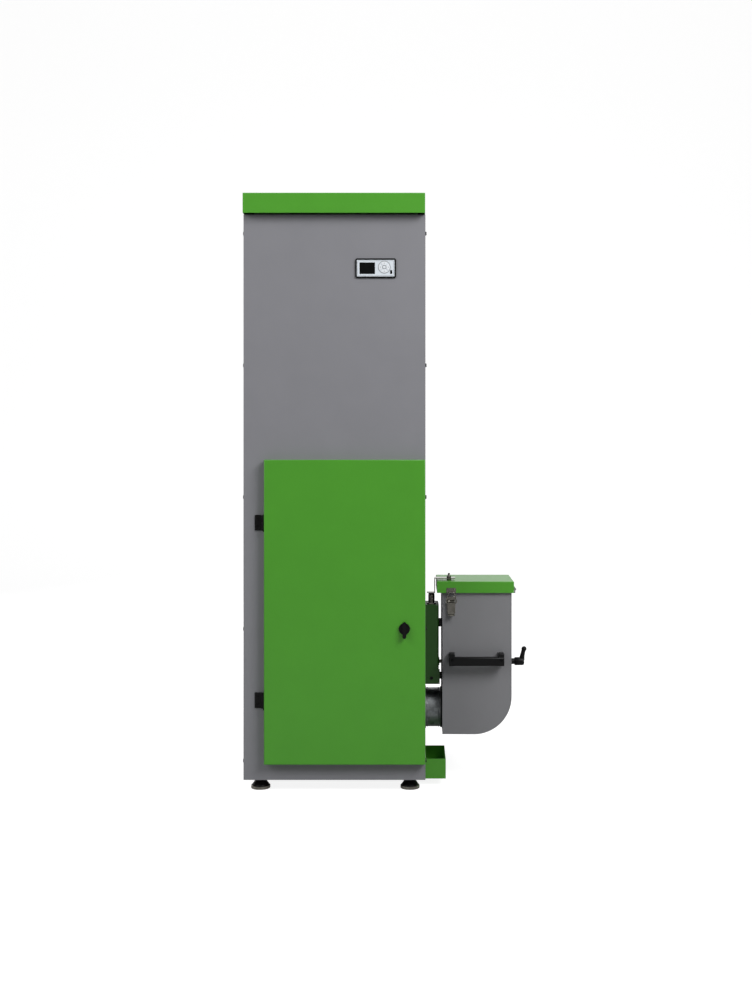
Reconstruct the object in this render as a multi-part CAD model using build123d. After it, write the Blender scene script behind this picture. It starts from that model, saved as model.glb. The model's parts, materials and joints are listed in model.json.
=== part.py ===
from build123d import *
import math
import os

# A floor-standing pellet boiler with an ash bin docked on its right side. Sizes are in millimetres.
# While the pieces are drawn, X = 0 is the middle of the casing, Y = 0 is the outer face of the front
# panel with +Y towards the back, and Z = 0 is the floor. At the end everything moves together so
# that the origin is the middle of the whole footprint, on the floor.

# Clearances
run_gap = 0.05
fit_gap = 0.3
same_gap = 0.15

# Casing
casing_w = 470.0
casing_d = 700.0
casing_h = 1460.0
foot_h = 30.0
sheet = 1.5
fold = 25.0
post_t = 2.0
tray_t = 3.0
rail_h = 25.0
rail_t = 3.0

side_x = casing_w / 2
panel_x = side_x - sheet
frame_x = panel_x - sheet
base_z = foot_h
top_z = base_z + casing_h
frame_y0 = sheet
frame_y1 = casing_d - sheet
frame_top_z = top_z - 2 * sheet

# Screws that hold the side panels
screw_count = 5
screw_margin = 46.0
screw_inset = 18.0
screw_head_r = 5.5
screw_head_h = 3.0
screw_shank_r = 2.4
screw_hole_r = 2.5
screw_shank = 12.0
screw_pitch = (casing_h - 2 * screw_margin) / (screw_count - 1)
screw_levels = [base_z + screw_margin + i * screw_pitch for i in range(screw_count)]

# Levelling feet
foot_inset = 40.0
sole_r = 25.0
sole_h = 6.0
foot_neck_r = 13.5
stud_r = 6.0
stud_len = 48.0
boss_r = 11.0
boss_h = 15.0

# Hopper lid, which is the whole roof, with its hinge at the back
roof_side_gap = 1.0
roof_w = casing_w - 2 * roof_side_gap
roof_h = 51.5
roof_gap = 0.5
roof_overhang = 25.0
roof_round = 2.0
roof_hinge_r = 5.5
roof_pin_r = 3.0
roof_leaf_t = 2.0
roof_leaf_w = 60.0
roof_leaf_h = 30.0
roof_hinge_x = roof_w / 2 - 84.0
roof_knuckle = 24.0
roof_z0 = top_z + roof_gap
roof_z1 = roof_z0 + roof_h
roof_axis_y = casing_d + roof_hinge_r + 0.4
roof_axis_z = top_z + roof_gap / 2

# Pellet hopper
hopper_w = 430.0
hopper_y = (60.0, 560.0)
hopper_knee_z = 1230.0
hopper_rim_z = 1525.0
outlet_w = 60.0
outlet_y = (330.0, 480.0)
outlet_z = 1010.0
seal_w = 14.0

# Feed auger, its tube and the chute to the burner
feed_z = 960.0
feed_tube_r = 35.0
feed_tube_t = 2.0
feed_y = (125.0, 560.0)
feed_screw_r = 29.0
feed_shaft_r = 8.0
feed_pitch = 55.0
flight_t = 3.0
flight_root = 1.0
chute_r = 27.0
chute_bottom_z = 600.0
burner_y = 170.0

# Boiler vessel with firebox, fire tubes and water space
vessel_w = 330.0
vessel_y = (70.0, 440.0)
vessel_z = (120.0, 880.0)
vessel_wall = 5.0
water_gap = 25.0
water_z0 = 350.0
firebox_y = (78.0, 270.0)
fire_opening_w = 230.0
fire_opening_z = (330.0, 700.0)
shelf_z = 330.0
shelf_t = 8.0
tube_r = 25.0
tube_wall = 3.0
tube_x_pitch = 64.0
tube_columns = 4
tube_rows_y = (315.0, 385.0)
collector_y = (285.0, 430.0)
collector_z = (150.0, 340.0)
port_r = 12.0
flow_x = 130.0
flow_z = 840.0
return_z = 375.0
board_t = 20.0
smoke_box_h = 45.0
smoke_box_t = 3.0
cover_t = 8.0
cover_lap = 15.0
wing_r = 4.0
brick_t = 15.0
firebox_x = vessel_w / 2 - 2 * vessel_wall - water_gap

# Burner pot and igniter
pot_r = 52.0
pot_t = 6.0
pot_z = (295.0, 385.0)
pot_flange_r = 68.0
pot_air_r = 3.0
pot_air_rings = (0.0, 13.0, 26.0, 37.0)
igniter_r = 6.0
igniter_z = 310.0

# Ash screw, duct and trough
ash_y = 205.0
ash_z = 178.0
duct_r = 52.5
duct_t = 2.0
duct_reach = 8.0
ash_screw_r = 46.0
ash_shaft_r = 10.0
ash_pitch = 62.0
duct_flange_r = 57.0

# Gear motors
gear_t = 30.0
gear_w = 80.0
motor_r = 30.0
motor_len = 32.0

# Cleaning bar with its scraper rods
scraper_r = 21.0
scraper_rod_r = 4.0
scraper_pitch = 80.0
scraper_count = 6
clean_bar_w = 12.0
clean_bar_t = 6.0
pull_rod_r = 5.0

# Flue gas fan and spigot
fan_x = -45.0
fan_z = 200.0
fan_r = 85.0
fan_wall = 2.0
fan_y = (445.0, 529.0)
fan_inlet_r = 40.0
wheel_r = 68.0
wheel_shaft_r = 5.0
wheel_hub_r = 12.0
wheel_w = 40.0
wheel_plate_t = 2.0
wheel_gap = 8.0
blade_count = 10
fan_motor_r = 42.0
fan_motor_len = 70.0
fan_motor_round = 6.0
wheel_shaft_in = 30.0
flue_r = 40.0
flue_t = 1.5
flue_z = 400.0
flue_bend_r = 70.0
flue_reach = 45.0
flue_step = 0.6

# Water side
pipe_r = 14.0
thread_r = 16.62
thread_len = 22.0
pipe_reach = 25.0
pump_len = 100.0
pump_y = (casing_d - pump_len - 100.0, casing_d - 100.0)
pump_r = 42.0
pump_body_half = 25.0
pump_head_h = 70.0
pump_nut_w = 18.0
union_rim = 11.0
tank_r = 140.0
tank_t = 100.0
tank_z = 700.0
tank_port_x = -60.0
branch_r = 6.0
tee_r = 18.0
tee_len = 30.0
tee_neck_r = 9.0
relief_valve = (60.0, 15.0, 40.0)
air_vent = (150.0, 19.0, 62.0)

# Control box and mains inlet
control_len = 190.0
control_y = (casing_d - control_len - 40.0, casing_d - 40.0)
control_z = (480.0, 760.0)
control_t = 38.0
inlet_x = 170.0
inlet_z = 115.0
inlet_w = 50.0
inlet_h = 62.0
rocker_w = 14.0
rocker_h = 22.0
rocker_tilt = 8.0

# Display
display_x = 106.5
display_z = 1351.2
bezel_w = 105.0
bezel_h = 51.0
bezel_t = 3.5
bezel_round = 5.0
fascia_w = 97.0
fascia_h = 42.5
fascia_t = 1.5
screen_w = 40.0
screen_h = 30.0
screen_x = 84.7
key_x = 128.7
key_z = 1353.9
key_ring_r = (5.6, 14.6)
key_half_deg = 39.0
key_centre_r = 3.4
key_travel = 0.6
key_rise = 0.9
display_depth = 28.0
socket_x = 146.5
socket_z = 1341.3

# Door
door_x = (-179.5, 234.5)
door_z = (75.0, 857.0)
door_t = 25.0
door_round = 2.5
door_gap = 0.3
door_board_t = 17.0
access_x = (-150.0, 145.0)
access_z = (120.0, 815.0)
hinge_levels = (236.5, 694.5)
hinge_h = 40.0
hinge_r = 4.0
hinge_pin_r = 2.0
hinge_leaf_w = 19.5
hinge_leaf_t = 3.0
hinge_axis_x = door_x[0] - 4.5
hinge_axis_y = -8.0
lock_x = 180.7
lock_z = 423.8
knob_r = 14.5
knob_bar = (10.0, 18.0, 23.5)
spindle_r = 8.0
cam_len = 30.0
cam_w = 14.0
cam_t = 3.0

# Docking bracket, sensor and buffers on the right side
dock_x1 = 272.0
dock_y = (130.0, 222.0)
dock_z = (253.6, 466.6)
dock_t = 3.0
dock_lip = 14.0
buffer_z = ((267.0, 281.0), (407.5, 426.5))
duct_ring_r = 55.0
duct_ring_t = 4.0
sensor_x = 252.5
sensor_y = 150.0
sensor_r = 9.0
sensor_z = (430.0, 496.0)
sensor_nut_r = 13.0
sensor_nut_t = 4.0

# Ash bin
bin_x = (281.5, 466.0)
bin_y = (118.0, 289.0)
bin_z = (122.0, 520.0)
bin_sheet = 1.5
bin_round = 100.0
lid_x = (267.0, 472.3)
lid_y = (110.0, 297.0)
lid_z = (500.4, 531.0)
lid_sheet = 1.5
lid_axis_x = 476.5
lid_axis_z = 508.0
lid_knuckle_r = 3.5
lid_pin_r = 1.6
gasket_w = 14.0
handle_x = (298.8, 444.2)
handle_z = 310.0
handle_post = 15.0
handle_h = 31.0
handle_bar_h = 23.0
handle_reach = 38.0
handle_grip_t = 18.0
handle_recess = 2.0

# Draw rod and clamping lever
rod_y = 204.0
rod_z = 303.0
rod_r = 5.0
rod_grip = 15.0
bush_r = 11.0
collar_r = 8.0
lever_hub_r = 11.0
lever_hub_x = (481.0, 507.0)
lever_tip_x = 507.0
lever_tip_r = 7.0
lever_rise = 34.0
lever_lean = 6.0

# Target strip over the sensor, on its stud
strip_w = 30.0
strip_t = 2.0
strip_x = (240.5, 316.0)
strip_leg_x = 260.0
strip_z = (497.5, 538.0)
target_stud_x = 299.6
target_stud_r = 3.0
target_nut_r = 5.77
target_nut_t = 5.0
target_stud_top = 550.0

# Toggle latch
latch_x = 304.8
latch_plate_w = 22.0
latch_z = (446.0, 490.0)
latch_axis = (110.0, 478.0)
bail_axis = (111.0, 473.0)
latch_lever_w = 18.0
latch_lever_t = 1.2
latch_tip_z = 439.6
latch_pin_r = 1.5
bail_r = 1.4
bail_half = 13.6
bail_top_half = 7.0
bail_top = (103.7, 502.6)
catch_w = 25.0
catch_top = 514.0
catch_lip = 4.0

# Spill tray
tray_x1 = 289.0
tray_y = (60.0, 213.0)
tray_z = (18.0, 70.0)
tray_sheet = 1.5


def block(x, y, z):
    """A box between the low and high values given along each axis."""
    size = Box(x[1] - x[0], y[1] - y[0], z[1] - z[0])
    return Pos((x[0] + x[1]) / 2, (y[0] + y[1]) / 2, (z[0] + z[1]) / 2) * size


def around(middle, width):
    """The low and high value of a span of this width about its middle."""
    return (middle - width / 2, middle + width / 2)


def grown(span, extra):
    """A span that reaches further at both ends; a negative extra shrinks it."""
    return (span[0] - extra, span[1] + extra)


def bar_x(x, y, z, radius):
    """A round bar along X between the two X values."""
    return Pos((x[0] + x[1]) / 2, y, z) * Rot(0, 90, 0) * Cylinder(radius, x[1] - x[0])


def bar_y(x, y, z, radius):
    """A round bar along Y between the two Y values."""
    return Pos(x, (y[0] + y[1]) / 2, z) * Rot(90, 0, 0) * Cylinder(radius, y[1] - y[0])


def bar_z(x, y, z, radius):
    """A round bar along Z between the two Z values."""
    return Pos(x, y, (z[0] + z[1]) / 2) * Cylinder(radius, z[1] - z[0])


def joined(shapes):
    """One shape from a list of shapes that touch or overlap."""
    whole = shapes[0]
    for shape in shapes[1:]:
        whole = whole + shape
    return whole


def separate(shapes):
    """One node of several solids that stay separate."""
    return Compound([solid for shape in shapes for solid in shape.solids()])


def flight(pitch, length, shaft_r, outer_r):
    """A screw flight of rectangular section that climbs along +Z from the origin."""
    width = outer_r - shaft_r + flight_root
    path = Helix(pitch=pitch, height=length, radius=outer_r - width / 2)
    start = Plane(origin=path @ 0, x_dir=(1, 0, 0), z_dir=path % 0)
    return sweep(start * Rectangle(width, flight_t), path=path, is_frenet=True)


def side_screw_holes():
    """Cutters for the screws at the front and back edge of both side panels."""
    reach = (-side_x - sheet, side_x + sheet)
    rows = (screw_inset, casing_d - screw_inset)
    return joined([bar_x(reach, y, z, screw_hole_r) for y in rows for z in screw_levels])


def frame():
    """Welded frame: base tray, four corner angles, top rails, vessel rails and a cross bar."""
    depth = (frame_y0, frame_y1)
    tray = block((-frame_x, frame_x), depth, (base_z, base_z + tray_t))
    ring = block((-frame_x, frame_x), depth, (frame_top_z - rail_h, frame_top_z))
    hollow = block(grown((-frame_x, frame_x), -rail_t), grown(depth, -rail_t), (0, frame_top_z + 1))
    pieces = [tray, ring - hollow]
    height = (base_z, frame_top_z)
    for y, inward in ((frame_y0, 1), (frame_y1, -1)):
        thin = sorted((y, y + inward * post_t))
        wide = sorted((y, y + inward * fold))
        for low, high in ((-frame_x, -frame_x + fold), (frame_x - fold, frame_x)):
            outer = (-frame_x, -frame_x + post_t) if low < 0 else (frame_x - post_t, frame_x)
            pieces.append(block((low, high), thin, height))
            pieces.append(block(outer, wide, height))
    for middle in (-vessel_w / 4, vessel_w / 4):
        rail_z = (base_z + tray_t, vessel_z[0])
        rail = block(around(middle, 40), vessel_y, rail_z)
        core = block(around(middle, 40 - 2 * rail_t), grown(vessel_y, 1), grown(rail_z, -rail_t))
        pieces.append(rail - core)
    bar_back = frame_y1 - fold
    cross = block((-frame_x + post_t, frame_x - post_t), (bar_back, bar_back + rail_t), around(tank_z, 30))
    pieces.append(cross)
    whole = joined(pieces)
    for x, y in foot_places():
        whole = whole + bar_z(x, y, (base_z, base_z + tray_t + boss_h), boss_r)
        whole = whole - bar_z(x, y, (base_z - 1, base_z + tray_t + boss_h + 1), stud_r + run_gap)
    return whole - side_screw_holes()


def foot_places():
    """The four places of the levelling feet."""
    near = side_x - foot_inset
    return [(x, y) for y in (foot_inset, casing_d - foot_inset) for x in (-near, near)]


def panel_folds(y_face, inward):
    """The two folded side edges of the front or back panel."""
    depth = sorted((y_face, y_face + inward * fold))
    left = block((-panel_x, -frame_x), depth, (base_z, top_z))
    right = block((frame_x, panel_x), depth, (base_z, top_z))
    return left + right


def front_panel():
    """Front sheet with the access opening, the lock slot and the display cut-out."""
    face = block((-panel_x, panel_x), (0, sheet), (base_z, top_z))
    through = (-1, sheet + 1)
    panel = face + panel_folds(0, 1) - block(access_x, through, access_z)
    slot_z = (lock_z - cam_len - 4, lock_z + spindle_r + 4)
    panel = panel - block(around(lock_x, 2 * spindle_r + 6), through, slot_z)
    cut = block(around(display_x, fascia_w + 2), through, around(display_z, fascia_h + 2))
    return panel - cut - side_screw_holes()


def side_panel(side):
    """Side sheet; the right one has the hole for the ash duct."""
    x = (panel_x, side_x) if side > 0 else (-side_x, -panel_x)
    panel = block(x, (0, casing_d), (base_z, top_z)) - side_screw_holes()
    if side > 0:
        panel = panel - bar_x(grown(x, 1), ash_y, ash_z, duct_r + fit_gap)
    return panel


def roof_knuckles(moving):
    """Knuckle rings of one half of the lid's two hinges."""
    rings = []
    for middle in (-roof_hinge_x, roof_hinge_x):
        if moving:
            spans = [around(middle, roof_knuckle)]
        else:
            inner = roof_knuckle / 2 + fit_gap
            spans = [(middle - roof_leaf_w / 2, middle - inner), (middle + inner, middle + roof_leaf_w / 2)]
        for span in spans:
            rings.append(bar_x(span, roof_axis_y, roof_axis_z, roof_hinge_r))
    return rings


def back_panel():
    """Back sheet with its service holes and the fixed hinge leaves of the hopper lid."""
    panel = block((-panel_x, panel_x), (frame_y1, casing_d), (base_z, top_z))
    panel = panel + panel_folds(casing_d, -1)
    through = (frame_y1 - 1, casing_d + 1)
    panel = panel - bar_y(0, through, flue_z, flue_r + fit_gap)
    panel = panel - bar_y(flow_x, through, flow_z, pipe_r + fit_gap)
    panel = panel - bar_y(-flow_x, through, return_z, pipe_r + fit_gap)
    panel = panel - block(around(inlet_x, inlet_w - 6), through, around(inlet_z, inlet_h - 6))
    pieces = [panel - side_screw_holes()]
    leaf_y = (casing_d, casing_d + roof_leaf_t)
    for middle in (-roof_hinge_x, roof_hinge_x):
        leaf = block(around(middle, roof_leaf_w), leaf_y, (roof_axis_z - roof_leaf_h, roof_axis_z - fit_gap))
        gap = block(around(middle, roof_knuckle + 2 * fit_gap), leaf_y, (roof_axis_z - roof_hinge_r - 1, top_z))
        pieces.append(leaf - gap)
        pieces.append(bar_x(around(middle, roof_leaf_w), roof_axis_y, roof_axis_z, roof_pin_r))
    return joined(pieces + roof_knuckles(False))


def hopper_lid():
    """Folded roof pan with the moving hinge leaves at its back skirt."""
    depth = (-roof_overhang, casing_d)
    pan = block((-roof_w / 2, roof_w / 2), depth, (roof_z0, roof_z1))
    pan = fillet(pan.edges().group_by(Axis.Z)[-1], roof_round)
    inside = block(grown((-roof_w / 2, roof_w / 2), -sheet), grown(depth, -sheet), (0, roof_z1 - sheet))
    pieces = [pan - inside]
    leaf_y = (casing_d, casing_d + roof_leaf_t)
    for middle in (-roof_hinge_x, roof_hinge_x):
        pieces.append(block(around(middle, roof_knuckle), leaf_y, (roof_z0, roof_z0 + roof_leaf_h)))
    bore = bar_x((-side_x, side_x), roof_axis_y, roof_axis_z, roof_pin_r + run_gap)
    return joined(pieces + roof_knuckles(True)) - bore


def hopper_lid_seal():
    """Foam strip in the lid that meets the hopper's rim."""
    height = (hopper_rim_z + fit_gap, roof_z1 - sheet)
    outer = block(around(0, hopper_w + seal_w), grown(hopper_y, seal_w / 2), height)
    return outer - block(around(0, hopper_w - seal_w), grown(hopper_y, -seal_w / 2), height)


def panel_screws():
    """Pan-head screws of the two side panels."""
    screws = []
    for y in (screw_inset, casing_d - screw_inset):
        for z in screw_levels:
            for side in (-1, 1):
                shank = sorted((side * side_x, side * (side_x - screw_shank)))
                head = sorted((side * side_x, side * (side_x + screw_head_h)))
                screws.append(bar_x(shank, y, z, screw_shank_r) + bar_x(head, y, z, screw_head_r))
    return separate(screws)


def levelling_foot(place):
    """Sole, cone and threaded stud of one foot."""
    x, y = place
    sole = bar_z(x, y, (0, sole_h), sole_r)
    neck_h = foot_h - sole_h - fit_gap
    neck = Pos(x, y, sole_h + neck_h / 2) * Cone(sole_r - 2, foot_neck_r, neck_h)
    return sole + neck + bar_z(x, y, (sole_h, sole_h + stud_len), stud_r)


def hopper():
    """Pellet hopper: square collar, funnel, outlet neck and the deck it hangs from."""
    middle_y = sum(hopper_y) / 2
    outlet_mid = sum(outlet_y) / 2
    depth = hopper_y[1] - hopper_y[0]
    outlet_d = outlet_y[1] - outlet_y[0]

    def funnel(shrink):
        top = Pos(0, middle_y, hopper_knee_z) * Rectangle(hopper_w - shrink, depth - shrink)
        low = Pos(0, outlet_mid, outlet_z) * Rectangle(outlet_w - shrink, outlet_d - shrink)
        return loft([low, top], ruled=True)

    collar = block(around(0, hopper_w), hopper_y, (hopper_knee_z, hopper_rim_z))
    room = block(grown(around(0, hopper_w), -sheet), grown(hopper_y, -sheet), (hopper_knee_z, hopper_rim_z + 1))
    deck_y = grown((frame_y0, frame_y1), -sheet / 2)
    deck = block((-frame_x + sheet, frame_x - sheet), deck_y, (frame_top_z, frame_top_z + sheet))
    hole = block(around(0, hopper_w), hopper_y, (frame_top_z - 1, top_z))
    return (collar - room) + (funnel(0) - funnel(2 * sheet)) + (deck - hole)


def tube_places():
    """Centres of the vertical fire tubes."""
    first = -tube_x_pitch * (tube_columns - 1) / 2
    return [(first + i * tube_x_pitch, y) for y in tube_rows_y for i in range(tube_columns)]


def boiler_vessel():
    """Welded vessel: firebox over an ash trough, water space, fire tubes and gas collector."""
    half = vessel_w / 2
    body = block((-half, half), vessel_y, vessel_z)
    fire_x = (-firebox_x, firebox_x)
    trough_r = duct_r - duct_t
    top = vessel_z[1] + 1
    chamber = block(fire_x, firebox_y, (shelf_z - 70, top))
    slope = Polyline(
        (firebox_y[0], shelf_z - 70),
        (firebox_y[1], shelf_z - 70),
        (ash_y + trough_r, ash_z),
        (ash_y - trough_r, ash_z),
        close=True,
    )
    wedge = extrude(Plane.YZ.offset(-firebox_x) * make_face(slope), 2 * firebox_x)
    trough = bar_x(fire_x, ash_y, ash_z, trough_r)
    body = body - (chamber + wedge + trough)
    water = block(grown((-half, half), -vessel_wall), grown(vessel_y, -vessel_wall), (water_z0, vessel_z[1] - vessel_wall))
    water = water - block(grown(fire_x, vessel_wall), (vessel_y[0], firebox_y[1] + vessel_wall), (0, top))
    collector = block(fire_x, collector_y, collector_z)
    for x, y in tube_places():
        water = water - bar_z(x, y, (water_z0 - 1, top), tube_r + tube_wall)
    body = body - water - collector
    for x, y in tube_places():
        body = body - bar_z(x, y, (collector_z[1] - 1, top), tube_r)
    shelf = block(grown(fire_x, 1), (firebox_y[0] + 22, firebox_y[1] + 1), (shelf_z - shelf_t, shelf_z))
    body = body + (shelf - bar_z(0, burner_y, grown((shelf_z - shelf_t, shelf_z), 1), pot_r + same_gap))
    opening_y = (vessel_y[0] - 1, firebox_y[0] + 1)
    body = body - block(around(0, fire_opening_w), opening_y, fire_opening_z)
    rear = (collector_y[1] - 1, vessel_y[1] + 1)
    body = body - bar_y(fan_x, rear, fan_z, fan_inlet_r)
    port = (vessel_y[1] - 2 * vessel_wall, vessel_y[1] + 1)
    body = body - bar_y(flow_x, port, flow_z, port_r) - bar_y(-flow_x, port, return_z, port_r)
    body = body - bar_x((firebox_x - 1, half + 1), ash_y, ash_z, duct_r)
    body = body - bar_x((-half - 1, -firebox_x + 1), ash_y, ash_z, ash_shaft_r + run_gap)
    return body - bar_x((-half - 1, -firebox_x + 1), burner_y, igniter_z, igniter_r + same_gap)


def vessel_insulation():
    """Insulation boards on the two sides of the vessel."""
    half = vessel_w / 2
    left = block((-half - board_t, -half), vessel_y, vessel_z)
    left = left - gear_block(2)
    left = left - bar_x((-half - board_t - 1, -half + 1), burner_y, igniter_z, 3 * igniter_r)
    right = block((half, half + board_t), vessel_y, vessel_z)
    right = right - bar_x((half - 1, half + board_t + 1), ash_y, ash_z, duct_r + 2)
    return separate([left, right])


def firebox_liner():
    """Refractory plates that stand on the burner shelf, at both sides and at the back."""
    height = (shelf_z, fire_opening_z[1])
    back = block((-firebox_x, firebox_x), (firebox_y[1] - brick_t, firebox_y[1]), height)
    side_y = (firebox_y[0] + 24, firebox_y[1] - brick_t)
    left = block((-firebox_x, -firebox_x + brick_t), side_y, height)
    right = block((firebox_x - brick_t, firebox_x), side_y, height)
    return separate([back, left, right])


def burner_pot():
    """Cast burner pot with a flange, air holes in its floor and wall and the igniter's hole."""
    cup = bar_z(0, burner_y, pot_z, pot_r)
    cup = cup + bar_z(0, burner_y, (shelf_z, shelf_z + pot_t), pot_flange_r)
    cup = cup - bar_z(0, burner_y, (pot_z[0] + pot_t, pot_z[1] + 1), pot_r - pot_t)
    floor = grown((pot_z[0], pot_z[0] + pot_t), 1)
    for ring, radius in enumerate(pot_air_rings):
        for i in range(6 * ring or 1):
            turn = 2 * math.pi * i / (6 * ring or 1)
            x = radius * math.cos(turn)
            y = burner_y + radius * math.sin(turn)
            cup = cup - bar_z(x, y, floor, pot_air_r)
    for i in range(12):
        turn = Pos(0, burner_y, shelf_z + 25) * Rot(0, 0, 15 + 30 * i)
        cup = cup - turn * bar_x((pot_r - pot_t - 1, pot_r + 1), 0, 0, pot_air_r)
    return cup - bar_x((-pot_r - 1, -pot_r + pot_t + 4), burner_y, igniter_z, igniter_r + 1)


def igniter():
    """Ceramic ignition rod with its mounting flange on the vessel's left side."""
    half = vessel_w / 2
    rod = bar_x((-half - 25, -pot_r + 3), burner_y, igniter_z, igniter_r)
    return rod + bar_x((-half - 5, -half), burner_y, igniter_z, 2.4 * igniter_r)


def firebox_cover():
    """Inspection plate over the firebox opening with four wing nuts."""
    width = around(0, fire_opening_w + 2 * cover_lap)
    face = (vessel_y[0] - cover_t, vessel_y[0])
    height = grown(fire_opening_z, cover_lap)
    pieces = [block(width, face, height)]
    for x in grown(around(0, fire_opening_w), cover_lap / 2):
        for z in grown(fire_opening_z, cover_lap / 2):
            hub = bar_y(x, (face[0] - 10, face[0]), z, wing_r)
            wing = block(around(x, 5 * wing_r), (face[0] - 9, face[0] - 3), around(z, 2.5))
            pieces.append(hub + wing)
    return separate(pieces)


def smoke_box():
    """Hood over the firebox and the fire tubes with passages for chute and pull rod."""
    half = vessel_w / 2
    height = (vessel_z[1], vessel_z[1] + smoke_box_h)
    hood = block((-half, half), vessel_y, height)
    room = block(grown((-half, half), -smoke_box_t), grown(vessel_y, -smoke_box_t), (vessel_z[1] - 1, height[1] - smoke_box_t))
    hood = hood - room - bar_z(0, burner_y, grown(height, 1), chute_r + same_gap)
    return hood - bar_z(pull_rod_x(), sum(tube_rows_y) / 2, grown(height, 1), pull_rod_r + run_gap)


def pull_rod_x():
    """The pull rod stands between the two right-hand fire tubes."""
    return tube_x_pitch * (tube_columns - 2) / 2


def feed_tube():
    """Auger tube with inlet neck, end plates and the drop chute."""
    inner = feed_tube_r - feed_tube_t
    neck = block(around(0, outlet_w), outlet_y, (feed_z, outlet_z))
    chute_top = feed_z - feed_tube_r / 2
    shell = joined([
        bar_y(0, feed_y, feed_z, feed_tube_r),
        neck,
        bar_z(0, burner_y, (chute_bottom_z, chute_top), chute_r),
        block(around(0, gear_w), (feed_y[1] - 5, feed_y[1]), around(feed_z, gear_w)),
    ])
    neck_room = block(around(0, outlet_w - 2 * sheet), grown(outlet_y, -sheet), (feed_z, outlet_z + 1))
    room = bar_y(0, grown(feed_y, -5), feed_z, inner) + neck_room
    room = room + bar_z(0, burner_y, (chute_bottom_z - 1, chute_top), chute_r - feed_tube_t)
    shaft_hole = bar_y(0, (feed_y[0] - 1, feed_y[1] + 1), feed_z, feed_shaft_r + run_gap)
    return shell - room - shaft_hole


def feed_screw():
    """Auger that carries pellets forward from the hopper outlet to the chute."""
    length = feed_y[1] - feed_y[0] - 30
    turns = flight(feed_pitch, length, feed_shaft_r, feed_screw_r)
    place = Pos(0, feed_y[0] + 15, feed_z) * Rot(-90, 0, 0)
    shaft = bar_y(0, (feed_y[0] + 1, feed_y[1] + gear_t - 2), feed_z, feed_shaft_r)
    return separate([shaft + place * turns])


def gear_block(extra):
    """Gear housing of the ash screw's drive, at the left side of the vessel."""
    half = vessel_w / 2
    return block((-half - gear_t, -half), grown(around(ash_y, gear_w), extra), grown(around(ash_z, gear_w), extra))


def gearmotors():
    """The two gear motors: behind the feed tube and left of the ash trough."""
    feed = block(around(0, gear_w), (feed_y[1], feed_y[1] + gear_t), around(feed_z, gear_w))
    feed = feed + bar_y(0, (feed_y[1] + gear_t, feed_y[1] + gear_t + 2 * motor_len), feed_z, motor_r)
    feed = feed - bar_y(0, (feed_y[1] - 1, feed_y[1] + gear_t - 1), feed_z, feed_shaft_r + run_gap)
    back = -vessel_w / 2 - gear_t
    ash = gear_block(0) + bar_x((back - motor_len, back), ash_y, ash_z, motor_r)
    ash = ash - bar_x((back + 1, back + gear_t + 1), ash_y, ash_z, ash_shaft_r + run_gap)
    return separate([feed, ash])


def ash_screw():
    """Auger that pushes ash from the trough through the duct into the bin."""
    start = -firebox_x + 5
    end = bin_x[0] - 11
    turns = flight(ash_pitch, end - start - 10, ash_shaft_r, ash_screw_r)
    place = Pos(start + 5, ash_y, ash_z) * Rot(0, 90, 0)
    shaft = bar_x((-vessel_w / 2 - gear_t + 2, end), ash_y, ash_z, ash_shaft_r)
    return separate([shaft + place * turns])


def ash_duct():
    """Round duct from the trough through the right side panel into the bin."""
    end = bin_x[0] + duct_reach
    tube = bar_x((firebox_x, end), ash_y, ash_z, duct_r)
    tube = tube + bar_x((side_x, side_x + dock_t), ash_y, ash_z, duct_flange_r)
    return tube - bar_x((firebox_x - 1, end + 1), ash_y, ash_z, duct_r - duct_t)


def cleaning_bar():
    """Frame with a scraper rod for each fire tube and the pull rod that lifts it."""
    z = (vessel_z[1] + fit_gap, vessel_z[1] + fit_gap + clean_bar_t)
    reach = tube_x_pitch * (tube_columns - 1) / 2 + clean_bar_w
    pieces = [block((-reach, reach), around(y, clean_bar_w), z) for y in tube_rows_y]
    for x in (-pull_rod_x(), pull_rod_x()):
        pieces.append(block(around(x, clean_bar_w), tube_rows_y, z))
    middle = sum(tube_rows_y) / 2
    pieces.append(bar_z(pull_rod_x(), middle, (z[0], vessel_z[1] + 2 * smoke_box_h), pull_rod_r))
    bottom = z[0] - scraper_pitch * scraper_count - 20
    for x, y in tube_places():
        pieces.append(bar_z(x, y, (bottom, z[1]), scraper_rod_r))
        for i in range(1, scraper_count + 1):
            level = z[0] - scraper_pitch * i
            pieces.append(bar_z(x, y, (level, level + flight_t), scraper_r))
    return joined(pieces)


def flue_route():
    """Middle line of the flue from the fan's outlet up to the end of its bend."""
    y = sum(fan_y) / 2
    start = (0, y, fan_z)
    corner = (0, y, flue_z)
    end = (0, y + flue_bend_r + 2, flue_z)
    return FilletPolyline(start, corner, end, radius=flue_bend_r)


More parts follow.
